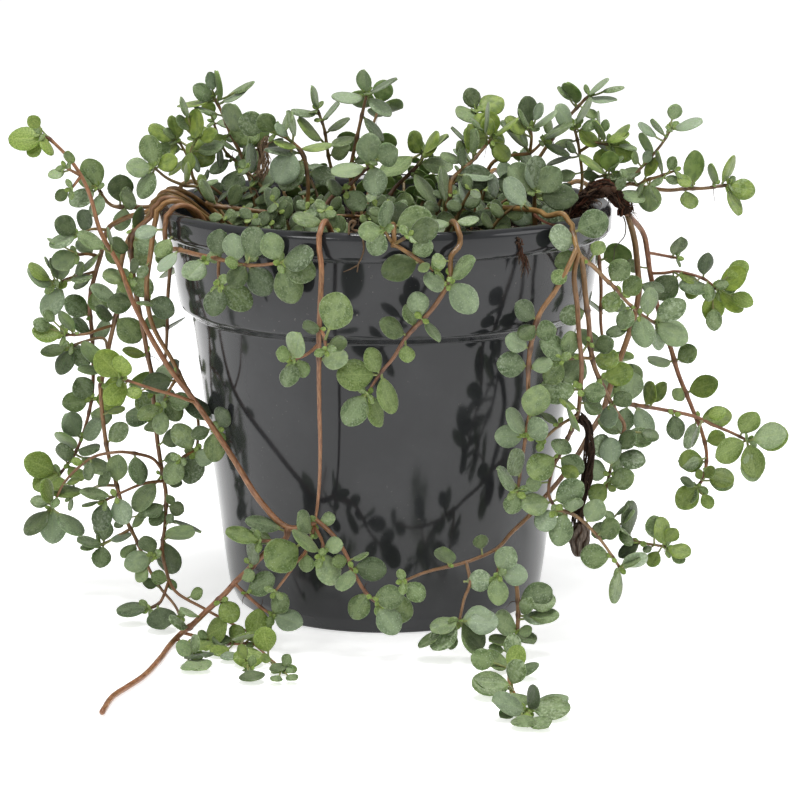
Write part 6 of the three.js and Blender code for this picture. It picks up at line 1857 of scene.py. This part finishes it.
def root_tuft(pieces, stem, draw):
    """The dry tuft of old roots that hangs from a stem."""
    depth = nearest_on(stem.line, *ROOT_TUFT[1])[1] - 1.5
    tuft = [seen((*spot, depth - TUFT_LEAN * k), LOWEST_FIBRE) for k, spot in enumerate(ROOT_TUFT)]
    strands(pieces, np.array(tuft), TUFT_STRANDS, 1.6, 0.14, draw, [PALE_ROOT, PALE_ROOT, TAN_ROOT])


def node_leaves(node, stems, bars, draw):
    """The leaves of a node's solid at their full size, and the young ones of its stems."""
    own = [bar for name in stems for bar in bars[name]]
    read = leaves_of(node)
    for leaf in read:
        join_to_bar(leaf, own)
    leaves = [opened(grown(leaf), draw) for leaf in read]
    for name in stems:
        leaves += [young_leaf(bars[name], spot, draw) for spot in YOUNG.get(name, [])]
    return leaves


def small_leaves(bars, node_of):
    """The small leaves by the node that they grow on."""
    draw = draws_from(SMALL_LEAF_SEED)
    found = {}
    for spot in SMALL_LEAVES:
        name, leaf = small_leaf(bars, spot, draw)
        found.setdefault(node_of[name], []).append(leaf)
    return found


def make_plant():
    bars, node_of = lay_out()
    materials = [leaf_material(), stem_material(), root_material()]
    small_of = small_leaves(bars, node_of)
    for number, node in enumerate(sorted({*node_of.values()})):
        draw = draws_from(SEED + NODE_SEED_STEP * (number + 1))
        pieces = Pieces(f"leafy_{node}", materials)
        stems = [name for name in node_of if node_of[name] == node]
        leaves = node_leaves(node, stems, bars, draw) + small_of.get(node, [])
        for k, leaf in enumerate(leaves):
            dress_leaf(pieces, leaf, leaf_tint(leaf, draw), draw, number * 100 + k)
        for name in stems:
            for k, bar in enumerate(bars[name]):
                if name == "stem_right_long":
                    root_clump(pieces, bar, draw)
                elif name == "root_plug":
                    bark_plug(pieces, bar, draw)
                else:
                    make_bar(pieces, bar, name, name != "stem_bare" or k > 0, draw, k)
        if node == "stem_right_front":
            pot_rootlets(pieces, draw)
        if node == "stem_top_d":
            root_tuft(pieces, bars[node][0], draw)
        pieces.make("plant", node)


# A sprig's pairs of leaves: the part of its height and their size
SPRIG_PAIRS = ((0.55, 5.4), (0.8, 5.2), (1, 3.6), (1, 2.0))
SPRIG_REACH = 44
SPRIG_STEPS = 7


def make_sprigs():
    """Low leafy sprigs that come up between the stems all over the potting mix."""
    draw = draws_from(SPRIG_SEED)
    pieces = Pieces("low_sprigs", [leaf_material(), stem_material(), root_material()])
    for k in range(SPRIGS):
        x, y, angle = place_on_mix(SPRIG_REACH, draw)
        foot = np.array([x, y, soil_height(x, y) - 1])
        out = np.array([math.cos(angle), math.sin(angle), 0])
        lean = out * (0.2 + 0.4 * draw()) + 0.4 * spray(draw)
        high = 7 + 9 * draw()
        steps = np.linspace(0, 1, SPRIG_STEPS + 1)[:, None]
        line = foot + UP * high * steps + lean * high * steps ** 2
        tint = (0.3 * draw(), 0.3 * draw(), 0.3)
        radii = np.linspace(0.55, 0.35, len(line))
        tube(pieces, line, radii, 7, STEM, tint, shift=k, rough=0.05)
        shade = 0.1 + 0.35 * draw()
        warm = 0.2 * draw()
        for part, size in SPRIG_PAIRS:
            centre = line[int(part * SPRIG_STEPS)]
            for i, leaf in enumerate(bud_leaves(centre, unit(line[-1] - line[-3]), (size,), draw)):
                young = 0.1 + 0.6 * (size < 3)
                dress_leaf(pieces, leaf, (young, warm, shade * (size > 3)), draw, 400 + 9 * k + i)
    pieces.make("plant")


# The room, in metres

FLOOR_HALF = 40
NEAREST_SEEN = 0.05
FARTHEST_SEEN = 120
FLOOR_GLOW = 0.6
SKY_STRENGTH = 0.5

# Each light's name, place, what it points at, width in metres and power
LIGHTS = [
    ("overhead", (0.05, -0.15, 1.3), (0, 0, 0.05), 0.55, 12.5),
    ("front_left", (-0.9, -1.1, 0.9), (0, 0, 0.06), 0.6, 5.0),
    ("right", (1.2, -0.3, 0.7), (0, 0, 0.06), 0.8, 3.0),
]


def paper_material():
    """White paper, lit a little from within so that it shows white up to the horizon."""
    paper = Paint("paper", Roughness=0.9, Specular_IOR_Level=0.1)
    cloud = paper.noise(paper.object_place(), 2.0, 2.0)
    paper.set(paper.shader, "Base Color", paper.mix(cloud, srgb(229, 229, 229), srgb(233, 233, 233)))
    paper.set(paper.shader, "Emission Color", (1, 1, 1, 1))
    paper.set(paper.shader, "Emission Strength", FLOOR_GLOW)
    return paper.material


def make_floor():
    corners = [(x * FLOOR_HALF, y * FLOOR_HALF, 0) for x, y in ((-1, -1), (1, -1), (1, 1), (-1, 1))]
    mesh = bpy.data.meshes.new("floor")
    mesh.from_pydata(corners, [], [(0, 1, 2, 3)])
    mesh.materials.append(paper_material())
    floor = placed("floor", mesh)


def make_world():
    world = bpy.data.worlds.new("studio")
    world.use_nodes = True
    world.node_tree.nodes["Background"].inputs["Color"].default_value = (1, 1, 1, 1)
    world.node_tree.nodes["Background"].inputs["Strength"].default_value = SKY_STRENGTH
    bpy.context.scene.world = world


def make_lights():
    """Soft lights from above and both sides."""
    for name, place, aim, size, power in LIGHTS:
        lamp = bpy.data.lights.new(name, "AREA")
        lamp.shape = "DISK"
        lamp.size = size
        lamp.energy = power
        holder = placed(name, lamp)
        holder.location = place
        holder.rotation_euler = (Vector(aim) - Vector(place)).to_track_quat("-Z", "Y").to_euler()


def make_camera():
    """The camera that the photograph was taken with, from in front and a little above."""
    lens = bpy.data.cameras.new("camera")
    lens.sensor_width = SENSOR_WIDTH
    lens.lens = FOCAL_PIXELS / IMAGE_WIDTH * SENSOR_WIDTH
    lens.shift_x = AXIS_PIXELS / IMAGE_WIDTH
    lens.clip_start, lens.clip_end = NEAREST_SEEN, FARTHEST_SEEN
    camera = placed("camera", lens)
    camera.location = (0, -EYE_AWAY * MM, EYE_UP * MM)
    camera.rotation_euler = (math.pi / 2 - EYE_TILT, 0, 0)
    bpy.context.scene.camera = camera


make_camera()
make_floor()
make_world()
make_lights()
make_pot()
make_soil()
make_crumbs()
make_plant()
make_sprigs()
bpy.context.scene.view_settings.view_transform = "Standard"
